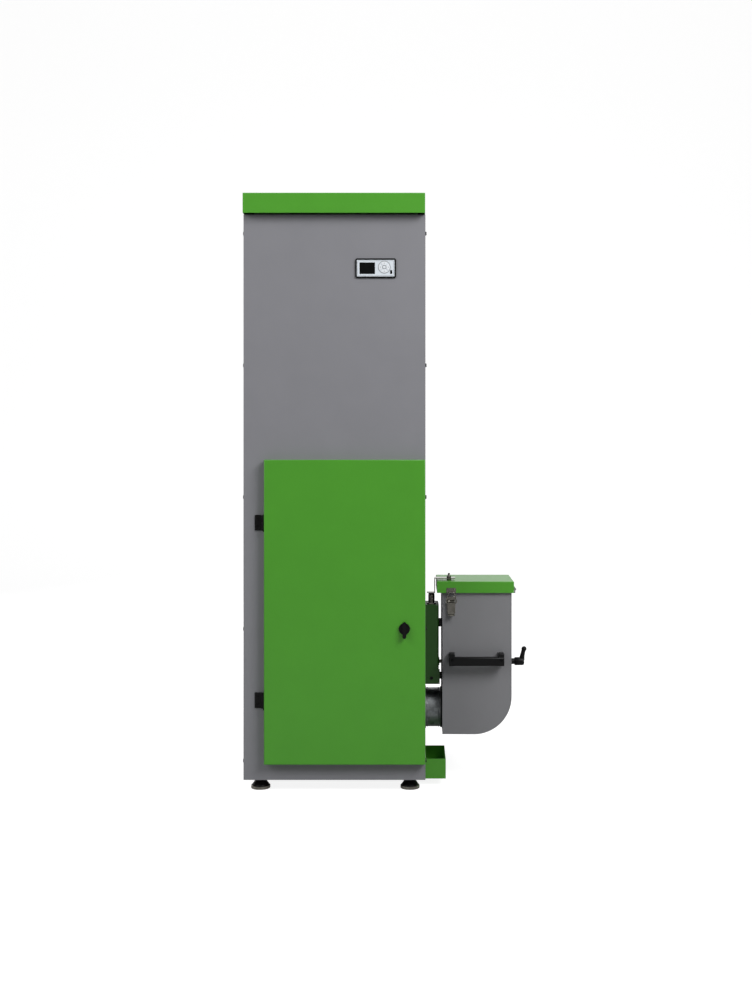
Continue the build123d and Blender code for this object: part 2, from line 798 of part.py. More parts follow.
def fan_housing():
    """Scroll housing of the flue gas fan with its outlet, bend and spigot."""
    route = flue_route()
    start = Plane(origin=route @ 0, z_dir=route % 0)
    bend_end = (route @ 1).Y
    tip = casing_d + flue_reach
    pipe = flue_r - flue_step
    outer = bar_y(fan_x, fan_y, fan_z, fan_r) + sweep(start * Circle(pipe), path=route)
    outer = outer + bar_y(0, (bend_end, tip), flue_z, pipe)
    outer = outer + bar_y(0, (casing_d + flue_step, tip), flue_z, flue_r)
    outer = outer + bar_y(fan_x, (vessel_y[1], fan_y[0]), fan_z, fan_inlet_r + 8)
    room = bar_y(fan_x, grown(fan_y, -fan_wall), fan_z, fan_r - fan_wall)
    room = room + sweep(start * Circle(pipe - flue_t), path=route)
    room = room + bar_y(0, (bend_end - 1, tip + 1), flue_z, pipe - flue_t)
    inlet = bar_y(fan_x, (vessel_y[1] - 1, fan_y[0] + fan_wall + 1), fan_z, fan_inlet_r)
    shaft_hole = bar_y(fan_x, (fan_y[1] - fan_wall - 1, fan_y[1] + 1), fan_z, wheel_shaft_r + 1)
    return outer - room - inlet - shaft_hole


def fan_wheel():
    """Fan wheel with radial blades on the motor's shaft."""
    back = fan_y[1] - fan_wall - wheel_gap
    front = back - wheel_w
    pieces = [bar_y(0, (back - wheel_plate_t, back), 0, wheel_r), bar_y(0, (front, back), 0, wheel_hub_r)]
    for i in range(blade_count):
        blade = block((wheel_hub_r - 2, wheel_r), (front, back), around(0, wheel_plate_t))
        pieces.append(Rot(0, 360 * i / blade_count, 0) * blade)
    pieces.append(bar_y(0, (back, fan_y[1] + wheel_shaft_in), 0, wheel_shaft_r))
    return Pos(fan_x, 0, fan_z) * joined(pieces)


def fan_motor():
    """Motor of the flue gas fan with its cooling flange."""
    span = (fan_y[1], fan_y[1] + fan_motor_len)
    motor = bar_y(fan_x, span, fan_z, fan_motor_r)
    motor = fillet(motor.edges().group_by(Axis.Y)[-1], fan_motor_round)
    return motor - bar_y(fan_x, (span[0] - 1, span[0] + wheel_shaft_in + 2), fan_z, wheel_shaft_r + run_gap)


def pipe_end(x, z, start):
    """A water pipe that leaves through the back panel and ends in a male thread."""
    tip = casing_d + pipe_reach
    pipe = bar_y(x, (start, tip), z, pipe_r) + bar_y(x, (tip - thread_len, tip), z, thread_r)
    return pipe - bar_y(x, (start - 1, tip + 1), z, port_r)


def water_pipes():
    """Flow pipe, return pipe in two lengths and the branch to the expansion tank."""
    flow = pipe_end(flow_x, flow_z, vessel_y[1])
    outer_return = pipe_end(-flow_x, return_z, pump_y[1])
    inner_return = bar_y(-flow_x, (vessel_y[1], pump_y[0]), return_z, pipe_r)
    inner_return = inner_return - bar_y(-flow_x, grown((vessel_y[1], pump_y[0]), 1), return_z, port_r)
    tank_y = frame_y1 - fold - tank_t / 2
    route = FilletPolyline(
        (tank_port_x, tank_y, tank_z - tank_r + 2),
        (tank_port_x, tank_y, return_z),
        (-flow_x + pipe_r - 1, tank_y, return_z),
        radius=25,
    )
    branch = sweep(Plane(origin=route @ 0, z_dir=route % 0) * Circle(branch_r), path=route)
    return separate([flow, outer_return + branch - bar_y(-flow_x, (pump_y[1] - 1, casing_d), return_z, port_r), inner_return])


def circulation_pump():
    """Wet-rotor pump in the return pipe, with its motor head upright."""
    middle = sum(pump_y) / 2
    pump = bar_y(-flow_x, pump_y, return_z, pipe_r + 5)
    body_z = around(return_z, 2 * pump_body_half)
    pump = pump + bar_z(-flow_x, middle, body_z, pump_r - 4)
    pump = pump + bar_z(-flow_x, middle, (body_z[1], body_z[1] + pump_head_h), pump_r)
    for y in ((pump_y[0], pump_y[0] + pump_nut_w), (pump_y[1] - pump_nut_w, pump_y[1])):
        pump = pump + bar_y(-flow_x, y, return_z, pipe_r + union_rim)
    return pump - bar_y(-flow_x, grown(pump_y, 1), return_z, port_r)


def expansion_tank():
    """Flat round expansion tank on the cross bar, with its port below."""
    back = frame_y1 - fold
    tank = bar_y(0, (back - tank_t, back), tank_z, tank_r)
    tank = fillet(tank.edges().group_by(Axis.Y)[0], tank_t / 4)
    tank = fillet(tank.edges().group_by(Axis.Y)[-1], tank_t / 4)
    port = bar_z(tank_port_x, back - tank_t / 2, (tank_z - tank_r + 2, tank_z - tank_r + 30), branch_r + 4)
    return tank + port


def safety_fittings():
    """Relief valve and air vent, each on its own tee on the flow pipe."""
    fittings = []
    for distance, radius, height in (relief_valve, air_vent):
        y = vessel_y[1] + distance
        neck_top = flow_z + tee_r + 12
        tee = bar_y(flow_x, around(y, tee_len), flow_z, tee_r)
        tee = tee + bar_z(flow_x, y, (flow_z, neck_top), tee_neck_r)
        cap = bar_z(flow_x, y, (neck_top, neck_top + height), radius)
        fittings.append(tee + cap - bar_y(flow_x, around(y, tee_len + 2), flow_z, pipe_r))
    return separate(fittings)


def control_box():
    """Closed housing of the control board, on the inside of the right panel."""
    x = (panel_x - control_t, panel_x)
    shell = block(x, control_y, control_z) - block(grown(x, -2), grown(control_y, -2), grown(control_z, -2))
    board = block((x[0] + 10, x[0] + 11.6), grown(control_y, -2), grown(control_z, -2))
    slot = block((x[0] - 1, x[0] + 3), grown(control_y, -40), around(control_z[0] + 30, 6))
    return shell + board - slot


def power_inlet():
    """Mains inlet with a pin recess below and the window of the main switch above."""
    plate = block(around(inlet_x, inlet_w), (casing_d, casing_d + 2.5), around(inlet_z, inlet_h))
    body = block(around(inlet_x, inlet_w - 8), (casing_d - 24, casing_d), around(inlet_z, inlet_h - 8))
    recess = block(around(inlet_x, 27), (casing_d - 18, casing_d + 3), around(inlet_z - 14, 20))
    window_y = (casing_d - 18, casing_d + 3)
    window = block(around(inlet_x, rocker_h + 2 * fit_gap), window_y, around(inlet_z + 15, rocker_w + 2 * fit_gap))
    pins = [block(around(inlet_x + x, 2), (casing_d - 19, casing_d - 4), around(inlet_z - 14, 4)) for x in (-7, 0, 7)]
    axle = bar_z(inlet_x, rocker_y(), around(inlet_z + 15, rocker_w + 4), 1.5)
    return joined([plate + body - recess - window] + pins + [axle])


def rocker_y():
    """Depth of the main switch's pivot."""
    return casing_d - 4


def main_switch():
    """Rocker of the main switch, stored in its off position."""
    half = rocker_h / 2 - 1
    outline = Polyline((-half, 6.5), (0, 4.5), (half, 6.5), (half - 1, -3), (-half + 1, -3), close=True)
    rocker = extrude(Plane.XY.offset(-rocker_w / 2) * make_face(outline), rocker_w)
    rocker = rocker - Cylinder(1.5 + run_gap, rocker_w + 2)
    return Pos(inlet_x, rocker_y(), inlet_z + 15) * Rot(0, 0, -rocker_tilt) * rocker


def display_frame():
    """Bezel and back box of the display in one moulding."""
    bezel = Pos(display_x, 0, display_z) * Rot(90, 0, 0) * RectangleRounded(bezel_w, bezel_h, bezel_round)
    plate = extrude(bezel, bezel_t)
    back = block(around(display_x, fascia_w + 1), (0, display_depth), around(display_z, fascia_h + 1))
    seat = block(around(display_x, fascia_w + same_gap), (-bezel_t - 1, -bezel_t + 0.5 + fascia_t), around(display_z, fascia_h + same_gap))
    room = block(around(display_x, fascia_w - 4), (-bezel_t, display_depth - 2), around(display_z, fascia_h - 4))
    return plate + back - seat - room


def petal(quarter, extra, depth):
    """Prism of one ring-sector key; quarter 0 points right and each step turns by 90 degrees."""
    low, high = depth
    ring = bar_y(0, depth, 0, key_ring_r[1] + extra) - bar_y(0, grown(depth, 1), 0, key_ring_r[0] - extra)
    spread = math.radians(key_half_deg)
    reach = 2 * key_ring_r[1]
    away = extra / math.sin(spread)
    outline = Polyline(
        (-away, 0),
        (reach * math.cos(spread) - away, reach * math.sin(spread)),
        (reach * math.cos(spread) - away, -reach * math.sin(spread)),
        close=True,
    )
    wedge = extrude(Plane.XZ.offset(-high) * make_face(outline), high - low)
    return Pos(key_x, 0, key_z) * Rot(0, 90 * quarter, 0) * (ring & wedge)


fascia_y = (-bezel_t + 0.5, -bezel_t + 0.5 + fascia_t)
board_y = 6.0
key_depth = (fascia_y[0] - key_rise, board_y - key_travel - 0.2)


def display_fascia():
    """Light fascia plate with openings for the screen, the keys and the service socket."""
    plate = block(around(display_x, fascia_w), fascia_y, around(display_z, fascia_h))
    through = grown(fascia_y, 1)
    plate = plate - block(around(screen_x, screen_w), through, around(display_z, screen_h))
    plate = plate - bar_y(key_x, through, key_z, key_centre_r + same_gap)
    for quarter in range(4):
        plate = plate - petal(quarter, same_gap, through)
    return plate - block(around(socket_x, 5.5), through, around(socket_z, 10))


def display_screen():
    """Screen module with its circuit board, held inside the display frame."""
    board = block(around(display_x, fascia_w - 4), (board_y, board_y + 1.6), around(display_z, fascia_h - 4))
    glass = block(around(screen_x, screen_w), (fascia_y[0] + 0.3, board_y), around(display_z, screen_h))
    socket = block(around(socket_x, 5.5), (fascia_y[1], board_y), around(socket_z, 10))
    mouth = block(around(socket_x, 3.5), (fascia_y[1] - 1, board_y - 1), around(socket_z, 8))
    return board + glass + (socket - mouth)


def key_petal(quarter):
    """One of the four ring-sector keys."""
    return petal(quarter, 0, key_depth)


def key_centre():
    """The round key in the middle of the ring."""
    return bar_y(key_x, key_depth, key_z, key_centre_r)


def door_skin():
    """Folded door pan with the lock's hole."""
    depth = (-door_t, -door_gap)
    pan = block(door_x, depth, door_z)
    pan = fillet(pan.edges().group_by(Axis.Y)[0], door_round)
    pan = pan - block(grown(door_x, -sheet), (-door_t + sheet, 1), grown(door_z, -sheet))
    return pan - bar_y(lock_x, (-door_t - 1, 0), lock_z, spindle_r + run_gap)


def door_liner():
    """Insulation board inside the door pan."""
    depth = (-door_t + sheet, -door_t + sheet + door_board_t)
    board = block(grown(door_x, -sheet), depth, grown(door_z, -sheet))
    return board - bar_y(lock_x, grown(depth, 1), lock_z, spindle_r + 1)


def door_hinge_leaves():
    """Fixed hinge halves on the front panel: leaf, lower knuckle and pin."""
    leaves = []
    left = hinge_axis_x - 2 - hinge_leaf_w
    for middle in hinge_levels:
        low = middle - hinge_h / 2
        leaf = block((left, hinge_axis_x - 2), (-hinge_leaf_t, 0), around(middle, hinge_h))
        lug = block((hinge_axis_x - hinge_r, hinge_axis_x), (hinge_axis_y, 0), (low, middle))
        knuckle = bar_z(hinge_axis_x, hinge_axis_y, (low, middle), hinge_r)
        pin = bar_z(hinge_axis_x, hinge_axis_y, (low, middle + hinge_h / 2), hinge_pin_r)
        for z in (middle - hinge_h / 4, middle + hinge_h / 4):
            sink = Pos(left + 8, -hinge_leaf_t, z) * Rot(90, 0, 0) * Cone(1.8, 3.8, 2.4, align=(Align.CENTER, Align.CENTER, Align.MAX))
            leaf = leaf - sink
        leaves.append(joined([leaf, lug, knuckle, pin]))
    return separate(leaves)


def door_hinge_arms():
    """Moving hinge halves on the door's left edge: plate and upper knuckle."""
    arms = []
    for middle in hinge_levels:
        top = middle + hinge_h / 2
        plate_x = (door_x[0] - 2.5, door_x[0])
        upper = block(plate_x, (-door_t + 2, hinge_axis_y + 2), (middle + fit_gap, top + 2))
        lower = block(plate_x, (-door_t + 2, hinge_axis_y - hinge_r - 1), (middle - hinge_h / 2 - 2, middle + fit_gap))
        knuckle = bar_z(hinge_axis_x, hinge_axis_y, (middle + fit_gap, top), hinge_r)
        arm = upper + lower + knuckle
        arms.append(arm - bar_z(hinge_axis_x, hinge_axis_y, (middle, top + 1), hinge_pin_r + run_gap))
    return separate(arms)


def door_lock():
    """Quarter-turn lock: disc, grip bar, spindle and the cam behind the front panel."""
    width, above, below = knob_bar
    face = -door_t - fit_gap
    disc = bar_y(lock_x, (face - 4, face), lock_z, knob_r)
    grip = block(around(lock_x, width), (face - 14, face - 4), (lock_z - below, lock_z + above))
    grip = fillet(grip.edges().filter_by(Axis.Y), width / 2 - 0.5)
    cam_y = (sheet + 2.5, sheet + 2.5 + cam_t)
    spindle = bar_y(lock_x, (face, cam_y[1]), lock_z, spindle_r)
    cam = block(around(lock_x, cam_w), cam_y, (lock_z - cam_len, lock_z))
    return joined([disc, grip, spindle, cam])


def hex_nut_z(x, y, z, radius):
    """A hexagon nut along Z between the two Z values."""
    return Pos(x, y, z[0]) * extrude(RegularPolygon(radius, 6), z[1] - z[0])


def dock_bracket():
    """Folded channel on the right side panel with the threaded bush of the draw rod."""
    x = (side_x, dock_x1)
    body = block(x, dock_y, dock_z)
    body = fillet(body.edges().filter_by(Axis.Z).group_by(Axis.X)[-1], 6)
    body = fillet(body.edges().group_by(Axis.Z)[-1].sort_by(Axis.X)[1:], 2)
    room = block((side_x - 1, dock_x1 - dock_t), grown(dock_y, -dock_t), (dock_z[0] - 1, dock_z[1] - dock_t))
    shell = body - room
    for low in (dock_y[0] + dock_t, dock_y[1] - dock_t - dock_lip):
        shell = shell + block((side_x, side_x + dock_t), (low, low + dock_lip), grown(dock_z, -20))
    shell = shell - bar_z(sensor_x, sensor_y, grown(dock_z, 1), sensor_r + same_gap)
    bush = bar_x((dock_x1 - rod_grip, dock_x1 + 3), rod_y, rod_z, bush_r)
    return shell + bush - bar_x((side_x, dock_x1 + 4), rod_y, rod_z, rod_r + run_gap)


def dock_buffers():
    """Rubber buffers between bracket and bin, and the rubber ring round the duct."""
    face = (dock_x1, bin_x[0] - fit_gap)
    pads = [block(face, around(sensor_y, 30), z) for z in buffer_z]
    ring = bar_x((face[1] - duct_ring_t, face[1]), ash_y, ash_z, duct_ring_r) - bar_x(grown(face, 9), ash_y, ash_z, duct_r)
    return separate(pads + [ring])


def ash_sensor():
    """Threaded round sensor with its two lock nuts."""
    barrel = bar_z(sensor_x, sensor_y, sensor_z, sensor_r)
    upper = (dock_z[1], dock_z[1] + sensor_nut_t)
    lower = (dock_z[1] - dock_t - sensor_nut_t, dock_z[1] - dock_t)
    nuts = hex_nut_z(sensor_x, sensor_y, upper, sensor_nut_r) + hex_nut_z(sensor_x, sensor_y, lower, sensor_nut_r)
    return barrel + nuts


def spill_tray():
    """Open tray on the right side panel under the duct."""
    x = (side_x, tray_x1)
    tray = block(x, tray_y, tray_z)
    return tray - block(grown(x, -tray_sheet), grown(tray_y, -tray_sheet), (tray_z[0] + tray_sheet, tray_z[1] + 1))


def bin_outline(inset):
    """Front view of the bin, with one large round corner at the lower right."""
    left, right = grown(bin_x, -inset)
    bottom = bin_z[0] + inset
    top = bin_z[1] + inset
    radius = bin_round - inset
    centre = (right - radius, bottom + radius)
    edge = [
        Line((left, top), (left, bottom)),
        Line((left, bottom), (right - radius, bottom)),
        CenterArc(centre, radius, 270, 90),
        Line((right, bottom + radius), (right, top)),
        Line((right, top), (left, top)),
    ]
    return make_face(edge)


def ash_bin():
    """Bin of folded sheet, open at the top, with the duct's hole and the draw rod's holes."""
    def solid(inset):
        face = Plane.XZ.offset(-bin_y[1] + inset) * bin_outline(inset)
        return extrude(face, bin_y[1] - bin_y[0] - 2 * inset)

    body = solid(0) - solid(bin_sheet)
    left = (bin_x[0] - 1, bin_x[0] + bin_sheet + 1)
    body = body - bar_x(left, ash_y, ash_z, duct_r + 1)
    pieces = [body]
    pin_y = grown(bin_y, -20)
    for y in pin_y:
        pieces.append(bar_y(lid_axis_x, around(y, 12), lid_axis_z, lid_knuckle_r))
        shelf_top = lid_z[0] - 2 * fit_gap
        shelf = block((bin_x[1], lid_axis_x + 1), around(y, 12), (shelf_top - 2, shelf_top))
        pieces.append(shelf + block(around(lid_axis_x, 2), around(y, 12), (shelf_top - 2, lid_axis_z)))
    pieces.append(bar_y(lid_axis_x, grown(bin_y, -14), lid_axis_z, lid_pin_r))
    return joined(pieces) - bar_x(grown(bin_x, 1), rod_y, rod_z, rod_r + run_gap)


def bin_handles():
    """Bridge handles on the front and the back of the bin."""
    def handle(face, outward):
        reach = face + outward * handle_reach
        grip = sorted((reach, reach - outward * handle_grip_t))
        bar = block(handle_x, grip, (handle_z, handle_z + handle_bar_h))
        bar = fillet(bar.edges().filter_by(Axis.X), 4)
        post_y = sorted((face, reach - outward * handle_recess))
        post_z = (handle_z, handle_z + handle_h)
        left = block((handle_x[0], handle_x[0] + handle_post), post_y, post_z)
        right = block((handle_x[1] - handle_post, handle_x[1]), post_y, post_z)
        return bar + left + right

    return separate([handle(bin_y[0], -1), handle(bin_y[1], 1)])


def bin_lid():
    """Folded lid pan of the bin with the moving hinge knuckle."""
    pan = block(lid_x, lid_y, lid_z)
    pan = fillet(pan.edges().group_by(Axis.Z)[-1], 2)
    pan = pan - block(grown(lid_x, -lid_sheet), grown(lid_y, -lid_sheet), (0, lid_z[1] - lid_sheet))
    inner = grown(bin_y, -28)
    knuckle = bar_y(lid_axis_x, inner, lid_axis_z, lid_knuckle_r)
    leaf = block((lid_x[1], lid_x[1] + 1.5), inner, (lid_axis_z, lid_axis_z + 14))
    bore = bar_y(lid_axis_x, bin_y, lid_axis_z, lid_pin_r + run_gap)
    stud_hole = bar_z(target_stud_x, sensor_y, grown(lid_z, 1), target_stud_r + run_gap)
    return pan + knuckle + leaf - bore - stud_hole


def bin_lid_gasket():
    """Foam gasket under the bin's lid that meets the bin's rim."""
    height = (bin_z[1] + fit_gap, lid_z[1] - lid_sheet)
    ring = block(grown(bin_x, gasket_w / 4), grown(bin_y, gasket_w / 4), height)
    return ring - block(grown(bin_x, -gasket_w * 3 / 4), grown(bin_y, -gasket_w * 3 / 4), height)


def lid_fittings():
    """Plated steel parts on the bin's lid: target strip, its stud and nuts, and the latch's catch."""
    width = around(sensor_y, strip_w)
    top = (strip_z[1] - strip_t, strip_z[1])
    foot = (strip_z[0], strip_z[0] + strip_t)
    leg = (strip_leg_x, strip_leg_x + strip_t)
    strip = block((strip_leg_x, strip_x[1]), width, top)
    strip = strip + block(leg, width, (strip_z[0], strip_z[1])) + block((strip_x[0], leg[1]), width, foot)
    strip = strip - bar_z(target_stud_x, sensor_y, grown(top, 1), target_stud_r)
    stud = bar_z(target_stud_x, sensor_y, (lid_z[1] - lid_sheet, target_stud_top), target_stud_r)
    nuts = hex_nut_z(target_stud_x, sensor_y, (lid_z[1], top[0]), target_nut_r)
    nuts = nuts + hex_nut_z(target_stud_x, sensor_y, (top[1], top[1] + target_nut_t), target_nut_r)
    plate = block(around(latch_x, catch_w), (lid_y[0] - lid_sheet, lid_y[0]), (lid_z[0] + 0.3, catch_top))
    lip = block(around(latch_x, catch_w), (lid_y[0] - catch_lip, lid_y[0]), (lid_z[0] + 0.3, lid_z[0] + 1.8))
    return separate([strip, stud + nuts, plate + lip])


def latch_base():
    """Plate of the toggle latch on the bin's front, with two ears and the pivot pin."""
    y, z = latch_axis
    plate = block(around(latch_x, latch_plate_w), (bin_y[0] - 1.5, bin_y[0]), latch_z)
    inner = latch_lever_w / 2 - latch_lever_t - same_gap
    pieces = [plate]
    for side in (-1, 1):
        ear = sorted((latch_x + side * inner, latch_x + side * (inner - 1.2)))
        pieces.append(block(ear, (y, bin_y[0]), around(z, 7)) + bar_x(ear, y, z, 3.5))
    pieces.append(bar_x(around(latch_x, latch_lever_w + 1), y, z, latch_pin_r))
    return joined(pieces)


def latch_lever():
    """Channel-shaped latch lever with a curled tip."""
    y, z = latch_axis
    half = latch_lever_w / 2
    low = latch_tip_z + 6
    pieces = []
    for side in (-1, 1):
        cheek = sorted((latch_x + side * half, latch_x + side * (half - latch_lever_t)))
        pieces.append(block(cheek, (y - 3.5, y + 3.5), (low, z)) + bar_x(cheek, y, z, 3.5))
    web = block(around(latch_x, latch_lever_w), (y - 3.5, y - 3.5 + latch_lever_t), (low - 1, z - 3))
    pieces.append(web)
    tip = bar_x(around(latch_x, latch_lever_w), y - 6.5, low - 2, 4.2) - bar_x(around(latch_x, latch_lever_w + 2), y - 6.5, low - 2, 3.0)
    keep = block(around(latch_x, latch_lever_w), (y - 10, y - 2), (low - 6.4, low - 2))
    pieces.append(tip & keep)
    pieces.append(block(around(latch_x, latch_lever_w), (y - 3.5, y - 2.3), (low - 2, low)))
    lever = joined(pieces)
    span = around(latch_x, latch_lever_w + 2)
    lever = lever - bar_x(span, y, z, latch_pin_r + run_gap)
    return lever - bar_x(span, bail_axis[0], bail_axis[1], bail_r + run_gap)


def latch_bail():
    """Bent wire loop that reaches from the latch lever to the lid's catch."""
    y, z = bail_axis
    rise = 8
    share = rise / (bail_top[1] - z)
    knee_y = y + (bail_top[0] - y) * share
    route = FilletPolyline(
        (latch_x - latch_lever_w / 2 + latch_lever_t, y, z),
        (latch_x - bail_half, y, z),
        (latch_x - bail_half, knee_y, z + rise),
        (latch_x - bail_top_half, bail_top[0], bail_top[1]),
        (latch_x + bail_top_half, bail_top[0], bail_top[1]),
        (latch_x + bail_half, knee_y, z + rise),
        (latch_x + bail_half, y, z),
        (latch_x + latch_lever_w / 2 - latch_lever_t, y, z),
        radius=2,
    )
    return sweep(Plane(origin=route @ 0, z_dir=route % 0) * Circle(bail_r), path=route)


def clamp_lever():
    """Clamping lever with its collar: hub, leaning arm and ball end."""
    collar = bar_x((bin_x[1] + fit_gap, lever_hub_x[0]), rod_y, rod_z, collar_r)
    hub = bar_x(lever_hub_x, rod_y, rod_z, lever_hub_r)
    hub = fillet(hub.edges().group_by(Axis.X)[-1], 3)
    foot_x = lever_tip_x - lever_lean
    lean = Vector(lever_tip_x - foot_x, 0, lever_rise)
    middle = Plane(origin=Vector(foot_x, rod_y, rod_z) + lean * 0.5, z_dir=lean)
    arm = middle * Cone(lever_hub_r - 3.5, lever_tip_r - 1, lean.length)
    ball = Pos(lever_tip_x, rod_y, rod_z + lever_rise) * Sphere(lever_tip_r)
    body = joined([collar, hub, arm, ball])
    return body - bar_x((bin_x[1], lever_hub_x[1] - 6), rod_y, rod_z, rod_r)


def draw_rod():
    """Long rod from the clamping lever through the bin into the bracket's bush."""
    return bar_x((dock_x1 - rod_grip + 1, lever_hub_x[1] - 6), rod_y, rod_z, rod_r)


nodes = {
    "frame": frame(),
    "front_panel": front_panel(),
    "side_panel_left": side_panel(-1),
    "side_panel_right": side_panel(1),
    "back_panel": back_panel(),
    "panel_screws": panel_screws(),
    "hopper": hopper(),
    "hopper_lid": hopper_lid(),
    "hopper_lid_seal": hopper_lid_seal(),
    "boiler_vessel": boiler_vessel(),
    "vessel_insulation": vessel_insulation(),
    "firebox_liner": firebox_liner(),
    "vessel_covers": separate([firebox_cover(), smoke_box()]),
    "burner_pot": burner_pot(),
    "igniter": igniter(),
    "feed_tube": feed_tube(),
    "feed_screw": feed_screw(),
    "drive_motors": separate([gearmotors(), fan_motor()]),
    "ash_screw": ash_screw(),
    "ash_duct": ash_duct(),
    "cleaning_bar": cleaning_bar(),
    "fan_housing": fan_housing(),
    "fan_wheel": fan_wheel(),
    "water_pipes": water_pipes(),
    "circulation_pump": circulation_pump(),
    "expansion_tank": expansion_tank(),
    "safety_fittings": safety_fittings(),
    "control_box": control_box(),
    "power_inlet": power_inlet(),
    "main_switch": main_switch(),
    "display_frame": display_frame(),
    "display_fascia": display_fascia(),
    "display_screen": display_screen(),
    "key_centre": key_centre(),
    "door_skin": door_skin(),
    "door_liner": door_liner(),
    "door_hinge_leaves": door_hinge_leaves(),
    "door_hinge_arms": door_hinge_arms(),
    "door_lock": door_lock(),
    "dock_bracket": dock_bracket(),
    "dock_buffers": dock_buffers(),
    "ash_sensor": ash_sensor(),
    "spill_tray": spill_tray(),
    "ash_bin": ash_bin(),
    "bin_handles": bin_handles(),
    "bin_lid": bin_lid(),
    "bin_lid_gasket": bin_lid_gasket(),
    "lid_fittings": lid_fittings(),
    "latch_base": latch_base(),
    "latch_lever": latch_lever(),
    "latch_bail": latch_bail(),
    "clamp_lever": separate([clamp_lever(), draw_rod()]),
}
for quarter, name in enumerate(("key_right", "key_down", "key_left", "key_up")):
    nodes[name] = key_petal(quarter)
for place, name in zip(foot_places(), ("front_left", "front_right", "back_left", "back_right")):
    nodes["foot_" + name] = levelling_foot(place)

bounds = separate(nodes.values()).bounding_box(optimal=True)
to_origin = Pos(-(bounds.min.X + bounds.max.X) / 2, -(bounds.min.Y + bounds.max.Y) / 2, -bounds.min.Z)

os.makedirs("parts", exist_ok=True)
for name, shape in nodes.items():
    export_step(separate([to_origin * shape]), "parts/" + name + ".step")
print("nodes", len(nodes), "moved by", to_origin.position)
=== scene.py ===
"""Finishes, detailed pieces and a plain studio for a floor-standing pellet boiler."""

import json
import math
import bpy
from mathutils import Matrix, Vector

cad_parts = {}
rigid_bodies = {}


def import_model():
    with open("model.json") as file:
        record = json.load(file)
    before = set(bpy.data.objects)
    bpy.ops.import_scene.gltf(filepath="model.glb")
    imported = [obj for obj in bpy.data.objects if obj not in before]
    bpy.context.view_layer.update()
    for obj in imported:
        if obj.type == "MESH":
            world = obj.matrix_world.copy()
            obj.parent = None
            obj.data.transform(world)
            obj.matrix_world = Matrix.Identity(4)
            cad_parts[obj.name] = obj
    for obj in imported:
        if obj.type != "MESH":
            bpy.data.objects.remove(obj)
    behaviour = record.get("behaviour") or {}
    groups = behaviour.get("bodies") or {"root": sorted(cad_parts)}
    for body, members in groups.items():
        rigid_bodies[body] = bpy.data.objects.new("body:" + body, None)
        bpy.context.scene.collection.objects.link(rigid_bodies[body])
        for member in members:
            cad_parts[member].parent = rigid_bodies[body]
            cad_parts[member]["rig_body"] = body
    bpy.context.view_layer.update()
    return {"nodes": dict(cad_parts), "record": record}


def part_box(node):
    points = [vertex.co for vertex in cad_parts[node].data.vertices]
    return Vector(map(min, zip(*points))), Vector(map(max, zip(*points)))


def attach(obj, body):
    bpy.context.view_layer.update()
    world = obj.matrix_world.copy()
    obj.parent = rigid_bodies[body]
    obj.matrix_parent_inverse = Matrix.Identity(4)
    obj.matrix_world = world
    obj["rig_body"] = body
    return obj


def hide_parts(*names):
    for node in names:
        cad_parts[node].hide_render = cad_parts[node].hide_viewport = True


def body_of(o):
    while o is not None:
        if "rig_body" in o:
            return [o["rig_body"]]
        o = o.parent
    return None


bl_info = {
    "name": "Pellet Boiler Looks",
    "version": (1, 0, 0),
    "blender": (4, 2, 0),
    "location": "View3D > Sidebar > Boiler",
    "description": "Paint, plated steel, fasteners, soft sheet edges and a studio for a pellet boiler",
    "category": "Object",
}

import bmesh
import bpy
from mathutils import Matrix, Vector

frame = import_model()

MM = 0.001

# The drawing's origin: the middle of the casing, on the outer face of the front panel, on the floor.
ORIGIN = Vector(
    (
        (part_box("side_panel_left")[0].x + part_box("side_panel_right")[1].x) / 2,
        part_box("front_panel")[0].y,
        0.0,
    )
)

# Folds in degrees: facets within FLAT_DEG lie in one plane, and an edge that folds by more than
# one of the other three stays hard, on plain pieces, on tapered ones and on ones with rounded folds.
FLAT_DEG = 0.5
SHARP_DEG = 31.0
TAPER_DEG = 40.0
BEVEL_DEG = 50.0

X_AXIS = Vector((1, 0, 0))
Y_AXIS = Vector((0, 1, 0))
Z_AXIS = Vector((0, 0, 1))

# Places and sizes of the drawing that several details share, in its millimetres.
DOOR_HINGE_Z = (236.5, 694.5)
DUCT_Y, DUCT_Z = 205.0, 178.0
ROD_Y, ROD_Z = 204.0, 303.0
BIN_BOTTOM, BIN_TOP, BIN_WIDTH, BIN_CORNER_R = 122.0, 499.0, 184.5, 100.0
BIN_FACES_Y = (118.0, 289.0)
STRIP_Y = (135.0, 165.0)
STUD_X, STUD_Y = 299.6, 150.0
CATCH_X, CATCH_BACK_Y, CATCH_BOTTOM = (292.3, 317.3), 110.0, 500.7
FLOW_X, FLOW_Z, RETURN_Z, PIPE_THREAD_Y = 130.0, 840.0, 375.0, 703.5
FLUE_Y, FLUE_Z = 706.0, 400.0
INLET_X, INLET_Y, INLET_Z = 170.0, 702.5, 115.0
FEED_MOTOR_Y, FEED_MOTOR_Z = 598.0, 960.0
FAN_MOTOR = (-45.0, 536.0, 200.0)
TANK_Y, TANK_Z = 623.5, 700.0
HOPPER_WALLS_Y, HOPPER_RIVET_Z = (61.5, 558.5), 1500.0


def at(x, y, z):
    """A place given in the drawing's millimetres, in the frame's metres."""
    return ORIGIN + Vector((x, y, z)) * MM


def drawn(place):
    """The drawing's millimetres of a place in the frame."""
    return [(a - b) / MM for a, b in zip(place, ORIGIN)]


def linear(text):
    """The linear RGBA colour of an sRGB hex value."""
    parts = [int(text[i : i + 2], 16) / 255 for i in (1, 3, 5)]
    return [c / 12.92 if c <= 0.04045 else ((c + 0.055) / 1.055) ** 2.4 for c in parts] + [1.0]


